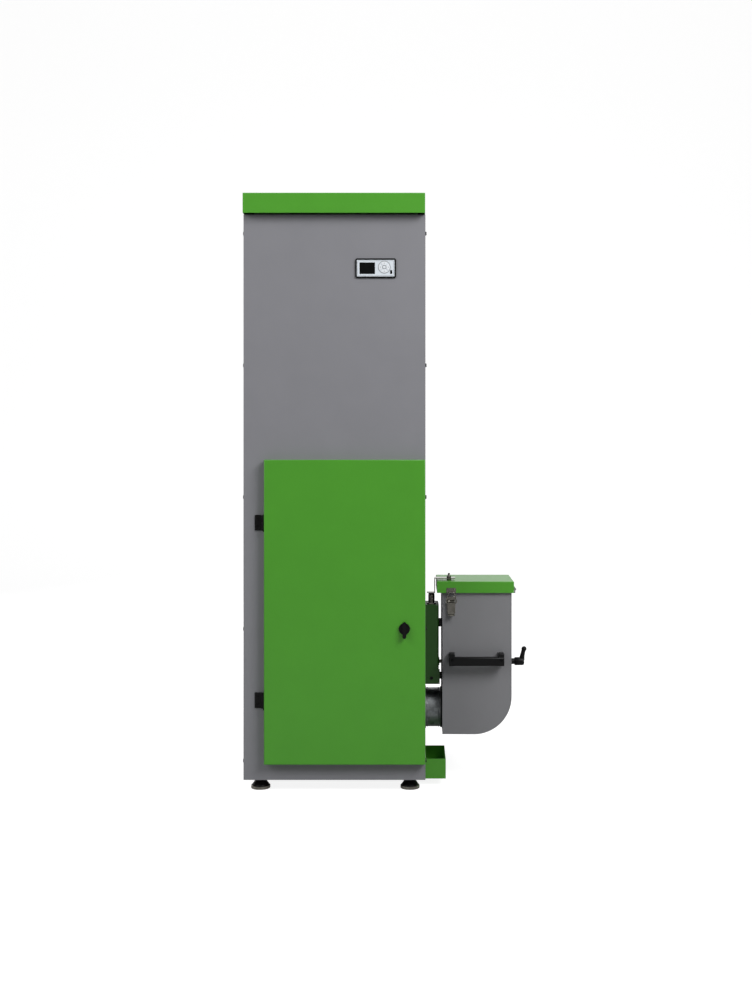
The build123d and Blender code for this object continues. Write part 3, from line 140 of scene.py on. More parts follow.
def colour_prop(name, description, text):
    """A colour setting with a hex default."""
    return bpy.props.FloatVectorProperty(
        name=name, description=description, subtype="COLOR", size=4, min=0, max=1, default=linear(text)
    )


def length_prop(name, description, millimetres):
    """A length setting with a default in millimetres."""
    return bpy.props.FloatProperty(
        name=name, description=description, default=millimetres * MM, min=0, unit="LENGTH", subtype="DISTANCE"
    )


class BoilerColours(bpy.types.PropertyGroup):
    """Colours of the painted and moulded parts."""

    casing: colour_prop("Casing grey", "Powder coat of the casing", "#828287")
    green: colour_prop("Green", "Powder coat of roof, door, bin lid and tray", "#4C9A29")
    # The bracket's green is the roof and door green, darkened as painted shade for the shade between the
    # casing and the bin.
    bracket: colour_prop("Bracket green darkened as painted shade", "Powder coat of the docking bracket, darkened as painted shade", "#184406")
    bin_grey: colour_prop("Bin grey", "Powder coat of the ash bin", "#808083")
    plastic: colour_prop("Black plastic", "Handles, knob, lever and hinges", "#070708")
    fascia: colour_prop("Fascia", "Display fascia", "#D8DFE6")
    keys: colour_prop("Keys", "Display keys", "#E3E7EC")
    floor: colour_prop("Floor", "Studio floor and backdrop", "#A4A4A4")


class BoilerSizes(bpy.types.PropertyGroup):
    """Sizes of the details that the dressing adds."""

    fold_edge: length_prop("Fold edge", "Rounding where painted sheet is folded", 1.0)
    small_edge: length_prop("Small edge", "Rounding of small moulded and stamped edges", 0.4)
    thread_pitch: length_prop("Fine pitch", "Pitch of the sensor's thread", 1.5)
    screw_head: length_prop("Screw head", "Radius of the panel screws' heads", 5.5)
    duct_bead: length_prop("Duct bead", "Thickness of the rings rolled into the duct", 3.0)


def settings():
    """The two groups of settings of the open scene."""
    return bpy.context.scene.boiler_colours, bpy.context.scene.boiler_sizes


# Materials


def add_node(tree, kind, inputs=(), **values):
    """Adds a node, sets its properties, and fills or links the inputs given by name or number."""
    made = tree.nodes.new(kind)
    for key, value in values.items():
        setattr(made, key, value)
    for key, value in dict(inputs).items():
        if isinstance(value, bpy.types.NodeSocket):
            tree.links.new(value, made.inputs[key])
        else:
            made.inputs[key].default_value = value
    return made


def new_surface(name, colour, roughness, metallic=0.0, ior=1.5):
    """A material with a Principled shader, and the tree, shader and Object coordinates to build on."""
    material = bpy.data.materials.new(name)
    material.use_nodes = True
    tree = material.node_tree
    tree.nodes.clear()
    shader = add_node(
        tree,
        "ShaderNodeBsdfPrincipled",
        {"Base Color": colour, "Roughness": roughness, "Metallic": metallic, "IOR": ior},
    )
    add_node(tree, "ShaderNodeOutputMaterial", {"Surface": shader.outputs[0]})
    place = add_node(tree, "ShaderNodeTexCoord").outputs["Object"]
    return material, tree, shader, place


def noise(tree, place, grain_mm, detail=2.0, roughness=0.5):
    """Noise whose features are about this many millimetres across."""
    return add_node(
        tree,
        "ShaderNodeTexNoise",
        {"Vector": place, "Scale": 1 / (grain_mm * MM), "Detail": detail, "Roughness": roughness},
    ).outputs["Fac"]


def shade_between(tree, factor, dark, light, low=0.3, high=0.7):
    """A colour that runs from dark to light as the factor runs from low to high."""
    ramp = add_node(tree, "ShaderNodeValToRGB", {"Fac": factor})
    ramp.color_ramp.elements[0].position = low
    ramp.color_ramp.elements[0].color = dark
    ramp.color_ramp.elements[1].position = high
    ramp.color_ramp.elements[1].color = light
    return ramp.outputs["Color"]


def spread(tree, factor, low, high):
    """A number that runs from low to high as the factor runs from 0 to 1."""
    ends = {"Value": factor, "To Min": low, "To Max": high}
    return add_node(tree, "ShaderNodeMapRange", ends).outputs["Result"]


def relief(tree, shader, height, depth_mm, strength=1.0):
    """Bump of this depth on the shader."""
    inputs = {"Height": height, "Distance": depth_mm * MM, "Strength": strength}
    bump = add_node(tree, "ShaderNodeBump", inputs)
    tree.links.new(bump.outputs["Normal"], shader.inputs["Normal"])


def tinted(colour, factor):
    """The colour, made darker or lighter."""
    return [min(1.0, c * factor) for c in colour[:3]] + [1.0]


def powder_coat(name, colour, roughness, grain_mm, depth_mm):
    """Polyester powder coat on steel: a soft sheen over a fine orange peel, even in colour."""
    material, tree, shader, place = new_surface(name, colour, roughness)
    patch = noise(tree, place, 90.0)
    shade = shade_between(tree, patch, tinted(colour, 0.98), tinted(colour, 1.02))
    tree.links.new(shade, shader.inputs["Base Color"])
    sheen = spread(tree, noise(tree, place, 14.0), roughness - 0.05, roughness + 0.05)
    tree.links.new(sheen, shader.inputs["Roughness"])
    relief(tree, shader, noise(tree, place, grain_mm, 1.0), depth_mm)
    return material


def bare_metal(name, dark, light, roughness, patch_mm, grain_mm, depth_mm=0.02):
    """Bare or plated metal: patches of tone and a fine grain that breaks up the reflection."""
    material, tree, shader, place = new_surface(name, linear(light), roughness, 1.0)
    patch = noise(tree, place, patch_mm, 3.0)
    tree.links.new(shade_between(tree, patch, linear(dark), linear(light)), shader.inputs["Base Color"])
    sheen = spread(tree, noise(tree, place, grain_mm, 3.0), roughness - 0.1, roughness + 0.1)
    tree.links.new(sheen, shader.inputs["Roughness"])
    relief(tree, shader, noise(tree, place, grain_mm, 2.0), depth_mm)
    return material


def zinc_spangle(name):
    """Hot-dip galvanised sheet: flat crystals about 9 mm across, each with its own grey and gloss."""
    material, tree, shader, place = new_surface(name, linear("#9EA2A4"), 0.5, 1.0)
    cells = add_node(tree, "ShaderNodeTexVoronoi", {"Vector": place, "Scale": 1 / (9 * MM)}).outputs["Color"]
    tone = add_node(tree, "ShaderNodeSeparateColor", {"Color": cells})
    shade = shade_between(tree, tone.outputs[0], linear("#8F9395"), linear("#A9ADAF"), 0.0, 1.0)
    tree.links.new(shade, shader.inputs["Base Color"])
    tree.links.new(spread(tree, tone.outputs[1], 0.45, 0.56), shader.inputs["Roughness"])
    return material


def moulded(name, colour, roughness, grain_mm=0.9, depth_mm=0.03, gloss=0.5):
    """Injection-moulded plastic: even colour and a fine eroded grain, drawn coarser than real to show."""
    material, tree, shader, place = new_surface(name, colour, roughness, ior=1.49)
    shader.inputs["Specular IOR Level"].default_value = gloss
    relief(tree, shader, noise(tree, place, grain_mm, 1.0), depth_mm)
    sheen = spread(tree, noise(tree, place, 8.0), roughness - 0.04, roughness + 0.04)
    tree.links.new(sheen, shader.inputs["Roughness"])
    return material


def gloss_screen(name):
    """Dark display glass over an unlit panel: near-black with a sharp reflection."""
    material, tree, shader, place = new_surface(name, linear("#060708"), 0.08, ior=1.52)
    shader.inputs["Specular IOR Level"].default_value = 0.3
    shade = shade_between(tree, noise(tree, place, 30.0), linear("#040505"), linear("#0A0B0C"))
    tree.links.new(shade, shader.inputs["Base Color"])
    return material


def cast_surface(name, dark, light, grain_mm, depth_mm, metallic):
    """Sand-cast metal: dark, with a coarse pitted skin."""
    material, tree, shader, place = new_surface(name, linear(light), 0.65, metallic)
    pits = noise(tree, place, grain_mm, 4.0, 0.65)
    tree.links.new(shade_between(tree, pits, linear(dark), linear(light)), shader.inputs["Base Color"])
    relief(tree, shader, pits, depth_mm)
    return material


def pressed_board(name):
    """Pressed vermiculite: pale brown with golden flakes 2 to 4 mm across, quite matt."""
    material, tree, shader, place = new_surface(name, linear("#B39A73"), 0.95)
    cells = add_node(tree, "ShaderNodeTexVoronoi", {"Vector": place, "Scale": 1 / (3 * MM)})
    flakes = cells.outputs["Distance"]
    shade = shade_between(tree, flakes, linear("#C9B084"), linear("#8F7752"), 0.1, 0.8)
    tree.links.new(shade, shader.inputs["Base Color"])
    relief(tree, shader, flakes, 0.3)
    return material


def needled_mat(name):
    """Mineral wool board: yellow-green fibres pressed flat, in layers that run with the board."""
    material, tree, shader, place = new_surface(name, linear("#A5986B"), 1.0)
    stretched = add_node(tree, "ShaderNodeMapping", {"Vector": place, "Scale": (1.0, 1.0, 5.0)}).outputs[0]
    fibres = noise(tree, stretched, 9.0, 6.0, 0.7)
    shade = shade_between(tree, fibres, linear("#7E7349"), linear("#C2B686"))
    tree.links.new(shade, shader.inputs["Base Color"])
    relief(tree, shader, fibres, 0.8)
    return material


def soft_rubber(name, shade, grain_mm, depth_mm):
    """Moulded rubber or closed-cell foam: black, matt, with a slight nap."""
    material, tree, shader, place = new_surface(name, linear(shade), 0.8, ior=1.52)
    relief(tree, shader, noise(tree, place, grain_mm, 3.0), depth_mm)
    return material


def enamel(name, shade):
    """Sprayed gloss enamel: one even colour under a clear film."""
    material, tree, shader, place = new_surface(name, linear(shade), 0.3)
    shader.inputs["Coat Weight"].default_value = 0.3
    relief(tree, shader, noise(tree, place, 2.5, 1.0), 0.02)
    return material


def make_materials():
    """One material for each slot of the record."""
    colours = bpy.context.scene.boiler_colours
    return {
        "casing_paint": powder_coat("casing_powder_coat", list(colours.casing), 0.5, 1.6, 0.05),
        "green_paint": powder_coat("green_powder_coat", list(colours.green), 0.34, 1.8, 0.04),
        # The bracket's coat is the same green paint, darkened to a painted shade.
        "dark_green_paint": powder_coat("bracket_coat_painted_shade", list(colours.bracket), 0.45, 1.8, 0.04),
        "bin_paint": powder_coat("bin_powder_coat", list(colours.bin_grey), 0.5, 1.6, 0.05),
        "mild_steel": bare_metal("rolled_mild_steel", "#63656A", "#74767B", 0.5, 40.0, 1.5, 0.05),
        "zinc_steel": bare_metal("zinc_plated_steel", "#7A776F", "#A19E95", 0.18, 12.0, 0.8),
        "galvanised": zinc_spangle("galvanised_sheet"),
        "cast_iron": cast_surface("grey_cast_iron", "#242425", "#454547", 1.4, 0.25, 0.7),
        "brass": bare_metal("turned_brass", "#A98848", "#D2B06A", 0.28, 15.0, 0.8),
        "refractory": pressed_board("vermiculite_board"),
        "mineral_wool": needled_mat("mineral_wool"),
        "black_plastic": moulded("black_polyamide", list(colours.plastic), 0.42, gloss=0.25),
        "grey_plastic": moulded("grey_abs", linear("#8D9094"), 0.5),
        "silver_plastic": moulded("fascia_film", list(colours.fascia), 0.38, 0.6, 0.01),
        "key_plastic": moulded("key_caps", list(colours.keys), 0.4, 0.6, 0.01),
        "screen": gloss_screen("display_glass"),
        "rubber": soft_rubber("black_rubber", "#1B1B1B", 1.2, 0.05),
        "foam": soft_rubber("closed_cell_foam", "#262627", 1.0, 0.3),
        "red_paint": enamel("red_enamel", "#A3221B"),
        "motor_paint": cast_surface("die_cast_aluminium", "#8D9093", "#A9ACAE", 1.0, 0.05, 1.0),
    }


MATERIALS = {}


def material_for(slot):
    """The finish of a slot; all are made at the first call."""
    if not MATERIALS:
        MATERIALS.update(make_materials())
    return MATERIALS[slot]


# Pieces


def add_piece(name, mesh, body, slot, *nodes):
    """Adds a finished mesh as a piece of the boiler, with its body, its slot and the nodes it stands for."""
    mesh.materials.clear()
    mesh.materials.append(material_for(slot))
    piece = bpy.data.objects.new(name, mesh)
    bpy.context.scene.collection.objects.link(piece)
    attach(piece, body)
    if nodes:
        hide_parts(*nodes)
    return piece


def close_mesh(bm, name, sharp_deg=SHARP_DEG, smooth=True):
    """Turns a bmesh into a mesh with hard edges where it folds by more than the angle.

    Marking the hard edges makes every face smooth, so the flat ones are set back after it.
    """
    mesh = bpy.data.meshes.new(name)
    bm.to_mesh(mesh)
    bm.free()
    soft = [smooth or face.use_smooth for face in mesh.polygons]
    mesh.set_sharp_from_angle(angle=math.radians(sharp_deg))
    mesh.polygons.foreach_set("use_smooth", soft)
    return mesh


def strip_width(face):
    """How wide a face is across its longest edge."""
    return face.calc_area() / max(e.calc_length() for e in face.edges)


def node_copy(node):
    """A merged copy of a CAD node; only facets about as wide as their bent neighbours are smooth.

    That keeps large flat sides flat beside the narrow facets of the round ones.
    """
    bm = bmesh.new()
    bm.from_mesh(frame["nodes"][node].data)
    bmesh.ops.remove_doubles(bm, verts=bm.verts, dist=2e-6)
    bmesh.ops.dissolve_limit(bm, angle_limit=math.radians(FLAT_DEG), verts=bm.verts, edges=bm.edges)
    for face in bm.faces:
        bends = [e for e in face.edges if FLAT_DEG < math.degrees(e.calc_face_angle(0)) < SHARP_DEG]
        beside = [strip_width(other) for e in bends for other in e.link_faces if other != face]
        face.smooth = len(bends) > 1 and strip_width(face) < 3 * max(beside)
    return bm


def bevel_folds(bm, width, fold_deg=40.0, segments=2):
    """Rounds the edges that fold by more than the angle."""
    edges = [e for e in bm.edges if e.is_manifold and e.calc_face_angle(0) > math.radians(fold_deg)]
    made = bmesh.ops.bevel(
        bm, geom=edges, offset=width, segments=segments, profile=0.5, affect="EDGES", clamp_overlap=True
    )
    for face in made["faces"]:
        if strip_width(face) < width:
            face.smooth = True


def soft_node(node, slot, width, name=None):
    """A piece with the shape of its CAD node and rounded edges."""
    bm = node_copy(node)
    bevel_folds(bm, width)
    body = body_of(frame["nodes"][node])[0]
    title = name or node + "_soft"
    return add_piece(title, close_mesh(bm, title, BEVEL_DEG, smooth=False), body, slot, node)


def turned_rings(bm, profile, centre, axis, steps):
    """Adds a ring of points for each (radius, height) of the profile, or one point at radius 0."""
    turn = Z_AXIS.rotation_difference(axis).to_matrix()
    rings = []
    for radius, height in profile:
        ring = []
        for i in range(steps if radius else 1):
            angle = 2 * math.pi * i / steps
            offset = Vector((radius * math.cos(angle), radius * math.sin(angle), height)) * MM
            ring.append(bm.verts.new(centre + turn @ offset))
        rings.append(ring)
    return rings


def turned(bm, profile, centre, axis, steps=48):
    """Adds a closed turned shape; the profile lists (radius, height) in millimetres along the axis."""
    rings = turned_rings(bm, profile, centre, axis, steps)
    for low, high in zip(rings, rings[1:]):
        for i in range(steps):
            j = (i + 1) % steps
            if len(low) == 1:
                bm.faces.new((low[0], high[j], high[i]))
            elif len(high) == 1:
                bm.faces.new((low[i], low[j], high[0]))
            else:
                bm.faces.new((low[i], low[j], high[j], high[i]))
    for ring, flipped in ((rings[0], True), (rings[-1], False)):
        if len(ring) > 1:
            bm.faces.new(list(reversed(ring)) if flipped else ring)


def turned_ring(bm, profile, centre, axis, steps=64):
    """Adds a turned ring; the profile is a closed loop of (radius, height) in millimetres."""
    rings = turned_rings(bm, profile, centre, axis, steps)
    faces = []
    for low, high in zip(rings, rings[1:] + rings[:1]):
        for i in range(steps):
            j = (i + 1) % steps
            faces.append(bm.faces.new((low[i], low[j], high[j], high[i])))
    bmesh.ops.recalc_face_normals(bm, faces=faces)


def block(bm, x, y, z):
    """Adds a box between drawing coordinates in millimetres."""
    corners = [bm.verts.new(at(a, b, c)) for c in z for b in y for a in x]
    for loop in ((0, 2, 3, 1), (4, 5, 7, 6), (0, 1, 5, 4), (2, 6, 7, 3), (0, 4, 6, 2), (1, 3, 7, 5)):
        bm.faces.new([corners[i] for i in loop])


def drawn_along(bm, points, radii, steps=20, closed=False):
    """Adds a round bar through drawing points, with a radius in millimetres at each."""
    places = [at(*p) for p in points]
    count = len(places)
    rings = []
    side = None
    for i, place in enumerate(places):
        before = places[i - 1] if i or closed else place
        after = places[(i + 1) % count] if i + 1 < count or closed else place
        ahead = (after - before).normalized()
        if side is None:
            side = ahead.orthogonal().normalized()
        side = (side - ahead * side.dot(ahead)).normalized()
        other = ahead.cross(side)
        ring = []
        for k in range(steps):
            angle = 2 * math.pi * k / steps
            outward = side * math.cos(angle) + other * math.sin(angle)
            ring.append(bm.verts.new(place + outward * radii[i] * MM))
        rings.append(ring)
    pairs = list(zip(rings, rings[1:]))
    if closed:
        pairs.append((rings[-1], rings[0]))
    for low, high in pairs:
        for k in range(steps):
            j = (k + 1) % steps
            bm.faces.new((low[k], low[j], high[j], high[k]))
    if not closed:
        bm.faces.new(list(reversed(rings[0])))
        bm.faces.new(rings[-1])


def rounded_outline(x, z, radius, steps=6):
    """Points of a rounded rectangle in the XZ plane, in drawing millimetres."""
    points = []
    corners = ((x[1], z[1], 0), (x[0], z[1], 90), (x[0], z[0], 180), (x[1], z[0], 270))
    for cx, cz, start in corners:
        mx = cx - radius if start in (0, 270) else cx + radius
        mz = cz - radius if start in (0, 90) else cz + radius
        for i in range(steps + 1):
            angle = math.radians(start + 90 * i / steps)
            points.append((mx + radius * math.cos(angle), mz + radius * math.sin(angle)))
    return points


# Geometry Nodes


def new_tree(name, inputs):
    """An empty geometry tree with a geometry input and these named number inputs."""
    tree = bpy.data.node_groups.new(name, "GeometryNodeTree")
    tree.interface.new_socket("Geometry", in_out="INPUT", socket_type="NodeSocketGeometry")
    for title, kind, value in inputs:
        socket = tree.interface.new_socket(title, in_out="INPUT", socket_type=kind)
        if value is not None:
            socket.default_value = value
    tree.interface.new_socket("Geometry", in_out="OUTPUT", socket_type="NodeSocketGeometry")
    return tree, add_node(tree, "NodeGroupInput").outputs


def close_tree(tree, geometry, material):
    """Ends the tree in Realize Instances and Set Material."""
    real = add_node(tree, "GeometryNodeRealizeInstances", {"Geometry": geometry}).outputs[0]
    painted = add_node(tree, "GeometryNodeSetMaterial", {"Geometry": real, "Material": material}).outputs[0]
    add_node(tree, "NodeGroupOutput", {0: painted})


def on_places(tree, places, shape):
    """Instances of the shape on the points, with its Z along the points' axis attribute."""
    kind = "GeometryNodeInputNamedAttribute"
    axis = add_node(tree, kind, {"Name": "axis"}, data_type="FLOAT_VECTOR").outputs[0]
    turn = add_node(tree, "FunctionNodeAlignRotationToVector", {"Vector": axis}, axis="Z").outputs[0]
    inputs = {"Points": places, "Instance": shape, "Rotation": turn}
    return add_node(tree, "GeometryNodeInstanceOnPoints", inputs).outputs[0]


def maths(tree, operation, first, second):
    """One Math node."""
    return add_node(tree, "ShaderNodeMath", {0: first, 1: second}, operation=operation).outputs[0]


def lifted(tree, shape, height):
    """The shape moved along Z by a linked height."""
    offset = add_node(tree, "ShaderNodeCombineXYZ", {"Z": height}).outputs[0]
    return add_node(tree, "GeometryNodeTransform", {"Geometry": shape, "Translation": offset}).outputs[0]


def circle(tree, points, radius):
    """A circle with this many points."""
    inputs = {"Resolution": points, "Radius": radius}
    return add_node(tree, "GeometryNodeCurvePrimitiveCircle", inputs, mode="RADIUS").outputs[0]


def swept(tree, path, section, caps=False):
    """The section drawn along the path."""
    inputs = {"Curve": path, "Profile Curve": section, "Fill Caps": caps}
    return add_node(tree, "GeometryNodeCurveToMesh", inputs).outputs[0]


FLOAT = "NodeSocketFloat"
MATERIAL_SOCKET = "NodeSocketMaterial"


def screw_tree():
    """Pan-head screws with a socket: a low cone with a hexagon cut out."""
    tree, given = new_tree(
        "pan_head_screws",
        [
            ("Head radius", FLOAT, 0.005),
            ("Head height", FLOAT, 0.003),
            ("Socket radius", FLOAT, 0.002),
            ("Material", MATERIAL_SOCKET, None),
        ],
    )
    radius, height, socket = given[1:4]
    top_radius = maths(tree, "MULTIPLY", radius, 0.8)
    cone = {"Vertices": 28, "Radius Top": top_radius, "Radius Bottom": radius, "Depth": height}
    base = add_node(tree, "GeometryNodeMeshCone", cone).outputs[0]
    hexagon = {"Vertices": 6, "Radius": socket, "Depth": height}
    cutter = lifted(tree, add_node(tree, "GeometryNodeMeshCylinder", hexagon).outputs[0], height)
    head = add_node(tree, "GeometryNodeMeshBoolean", operation="DIFFERENCE")
    tree.links.new(base, head.inputs["Mesh 1"])
    tree.links.new(cutter, head.inputs["Mesh 2"])
    close_tree(tree, on_places(tree, given[0], head.outputs[0]), given[4])
    return tree


def nut_tree():
    """Hexagon nuts: a prism cut by a wide cone so that its corners are chamfered.

    The prism stands out of the cone at both ends, so that no two faces of the cut lie in one plane.
    """
    tree, given = new_tree(
        "hexagon_nuts",
        [("Corner radius", FLOAT, 0.006), ("Height", FLOAT, 0.005), ("Material", MATERIAL_SOCKET, None)],
    )
    corner, height = given[1:3]
    half = maths(tree, "MULTIPLY", height, 0.5)
    hexagon = {"Vertices": 6, "Radius": corner, "Depth": maths(tree, "MULTIPLY", height, 1.5)}
    prism = add_node(tree, "GeometryNodeMeshCylinder", hexagon).outputs[0]
    cone = add_node(
        tree,
        "GeometryNodeMeshCone",
        {
            "Vertices": 36,
            "Radius Top": maths(tree, "MULTIPLY", corner, 0.84),
            "Radius Bottom": maths(tree, "MULTIPLY", corner, 1.3),
            "Depth": height,
        },
    ).outputs[0]
    wide = add_node(tree, "GeometryNodeMeshBoolean", operation="INTERSECT")
    tree.links.new(lifted(tree, prism, half), wide.inputs["Mesh 2"])
    tree.links.new(cone, wide.inputs["Mesh 2"])
    close_tree(tree, on_places(tree, given[0], wide.outputs[0]), given[3])
    return tree


def thread_tree():
    """Thread ridges: a helix swept with a triangle."""
    tree, given = new_tree(
        "thread_ridges",
        [
            ("Radius", FLOAT, 0.01),
            ("Length", FLOAT, 0.02),
            ("Pitch", FLOAT, 0.0015),
            ("Ridge", FLOAT, 0.0006),
            ("Material", MATERIAL_SOCKET, None),
        ],
    )
    radius, length, pitch, ridge = given[1:5]
    helix = add_node(
        tree,
        "GeometryNodeCurveSpiral",
        {
            "Resolution": 24,
            "Rotations": maths(tree, "DIVIDE", length, pitch),
            "Start Radius": radius,
            "End Radius": radius,
            "Height": length,
        },
    ).outputs[0]
    ridges = swept(tree, helix, circle(tree, 3, ridge), True)
    close_tree(tree, on_places(tree, given[0], ridges), given[5])
    return tree


def ring_tree():
    """A row of equal round rings along an axis, for cooling fins, beads and crimped bands."""
    tree, given = new_tree(
        "ring_rows",
        [
            ("Radius", FLOAT, 0.03),
            ("Bead", FLOAT, 0.002),
            ("Spacing", FLOAT, 0.008),
            ("Count", "NodeSocketInt", 1),
            ("Material", MATERIAL_SOCKET, None),
        ],
    )
    radius, bead, spacing, count = given[1:5]
    ring = swept(tree, circle(tree, 56, radius), circle(tree, 8, bead))
    step = add_node(tree, "ShaderNodeCombineXYZ", {"Z": spacing}).outputs[0]
    line = add_node(tree, "GeometryNodeMeshLine", {"Count": count, "Offset": step}, mode="OFFSET").outputs[0]
    row = add_node(tree, "GeometryNodeInstanceOnPoints", {"Points": line, "Instance": ring}).outputs[0]
    close_tree(tree, on_places(tree, given[0], row), given[5])
    return tree


TREES = {}


def repeated(name, kind, body, slot, places, sizes, nodes=()):
    """A plain mesh piece from a tree, with one copy at each (point, axis)."""
    if not TREES:
        TREES.update(screws=screw_tree(), nuts=nut_tree(), threads=thread_tree(), rings=ring_tree())
    seed = bpy.data.meshes.new(name + "_places")
    seed.from_pydata([point for point, _ in places], [], [])
    axes = seed.attributes.new("axis", "FLOAT_VECTOR", "POINT")
    for item, (_, axis) in zip(axes.data, places):
        item.vector = axis
    carrier = bpy.data.objects.new(name + "_places", seed)
    bpy.context.scene.collection.objects.link(carrier)
    modifier = carrier.modifiers.new("build", "NODES")
    modifier.node_group = TREES[kind]
    wanted = dict(sizes, Material=material_for(slot))
    for item in modifier.node_group.interface.items_tree:
        if item.in_out == "INPUT" and item.name in wanted:
            modifier[item.identifier] = wanted.pop(item.name)
    if wanted:
        raise RuntimeError("the tree " + kind + " has no input " + ", ".join(wanted))
    bpy.context.view_layer.update()
    result = carrier.evaluated_get(bpy.context.evaluated_depsgraph_get())
    mesh = bpy.data.meshes.new_from_object(result)
    bpy.data.objects.remove(carrier)
    if not mesh.polygons:
        raise RuntimeError(name + " came out empty")
    mesh.shade_smooth()
    mesh.set_sharp_from_angle(angle=math.radians(SHARP_DEG))
    if "axis" in mesh.attributes:
        mesh.attributes.remove(mesh.attributes["axis"])
    return add_piece(name, mesh, body, slot, *nodes)


def screws(name, body, slot, places, head, height, socket, nodes=()):
    """Pan-head screws or rivets, with the heads' and sockets' radii and the height in millimetres."""
    sizes = {"Head radius": head * MM, "Head height": height * MM, "Socket radius": socket * MM}
    return repeated(name, "screws", body, slot, places, sizes, nodes)


def nuts(name, body, slot, places, corner, height):
    """Hexagon nuts, with the radius over corners and the height in millimetres."""
    sizes = {"Corner radius": corner * MM, "Height": height * MM}
    return repeated(name, "nuts", body, slot, places, sizes)


def thread(name, body, slot, places, radius, length, pitch, ridge):
    """Thread ridges on round bars, sizes in millimetres."""
    sizes = {"Radius": radius * MM, "Length": length * MM, "Pitch": pitch * MM, "Ridge": ridge * MM}
    return repeated(name, "threads", body, slot, places, sizes)


def ring_row(name, slot, place, axis, radius, bead, spacing, count):
    """A row of rings on the casing from a place along an axis, sizes in millimetres."""
    sizes = {"Radius": radius * MM, "Bead": bead * MM, "Spacing": spacing * MM, "Count": count}
    return repeated(name, "rings", "casing", slot, [(place, axis)], sizes)


# Operators


class BoilerOperator:
    """What the build steps share."""

    bl_options = {"REGISTER"}

    def execute(self, context):
        self.build(*settings())
        return {"FINISHED"}


class BOILER_OT_finishes(BoilerOperator, bpy.types.Operator):
    """Gives every node of the frame its finish"""

    bl_idname = "boiler.finishes"
    bl_label = "Node finishes"

    def build(self, colours, sizes):
        for part in frame["record"]["subparts"]:
            mesh = frame["nodes"][part["node"]].data
            mesh.materials.clear()
            mesh.materials.append(material_for(part["material_slot"]))


class BOILER_OT_casing(BoilerOperator, bpy.types.Operator):
    """Builds the casing's sheets with rounded folds, and the screws of the side panels"""

    bl_idname = "boiler.casing"
    bl_label = "Casing"

    def build(self, colours, sizes):
        for node in ("front_panel", "side_panel_left", "side_panel_right", "back_panel"):
            soft_node(node, "casing_paint", sizes.small_edge)
        places = []
        low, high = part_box("panel_screws")
        radius = sizes.screw_head
        head_height = 3.0
        rows = 5
        for side, x in ((-1, low.x), (1, high.x)):
            face = x - side * head_height * MM
            for y in (low.y + radius, high.y - radius):
                for i in range(rows):
                    z = low.z + radius + (high.z - low.z - 2 * radius) * i / (rows - 1)
                    places.append((Vector((face, y, z)), X_AXIS * side))
        head = radius / MM
        nodes = ["panel_screws"]
        screws("side_panel_screws", "casing", "black_plastic", places, head, head_height, 2.2, nodes)


class BOILER_OT_roof(BoilerOperator, bpy.types.Operator):
    """Builds the hopper lid with rounded folds"""

    bl_idname = "boiler.roof"
    bl_label = "Roof lid"

    def build(self, colours, sizes):
        soft_node("hopper_lid", "green_paint", sizes.fold_edge)


class BOILER_OT_door(BoilerOperator, bpy.types.Operator):
    """Builds the door pan, its hinges with countersunk screws, and the lock's knob"""

    bl_idname = "boiler.door"
    bl_label = "Door"

    def build(self, colours, sizes):
        soft_node("door_skin", "green_paint", sizes.fold_edge)
        soft_node("door_hinge_leaves", "black_plastic", sizes.small_edge)
        soft_node("door_hinge_arms", "black_plastic", sizes.small_edge)
        soft_node("door_lock", "black_plastic", sizes.small_edge * 2)
        leaf_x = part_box("door_hinge_leaves")[0].x
        leaf_face = at(0, -2.2, 0).y
        places = []
        for middle in DOOR_HINGE_Z:
            for offset in (-10, 10):
                places.append((Vector((leaf_x + 8 * MM, leaf_face, (middle + offset) * MM)), -Y_AXIS))
        screws("hinge_screws", "casing", "black_plastic", places, 3.0, 0.7, 1.3)


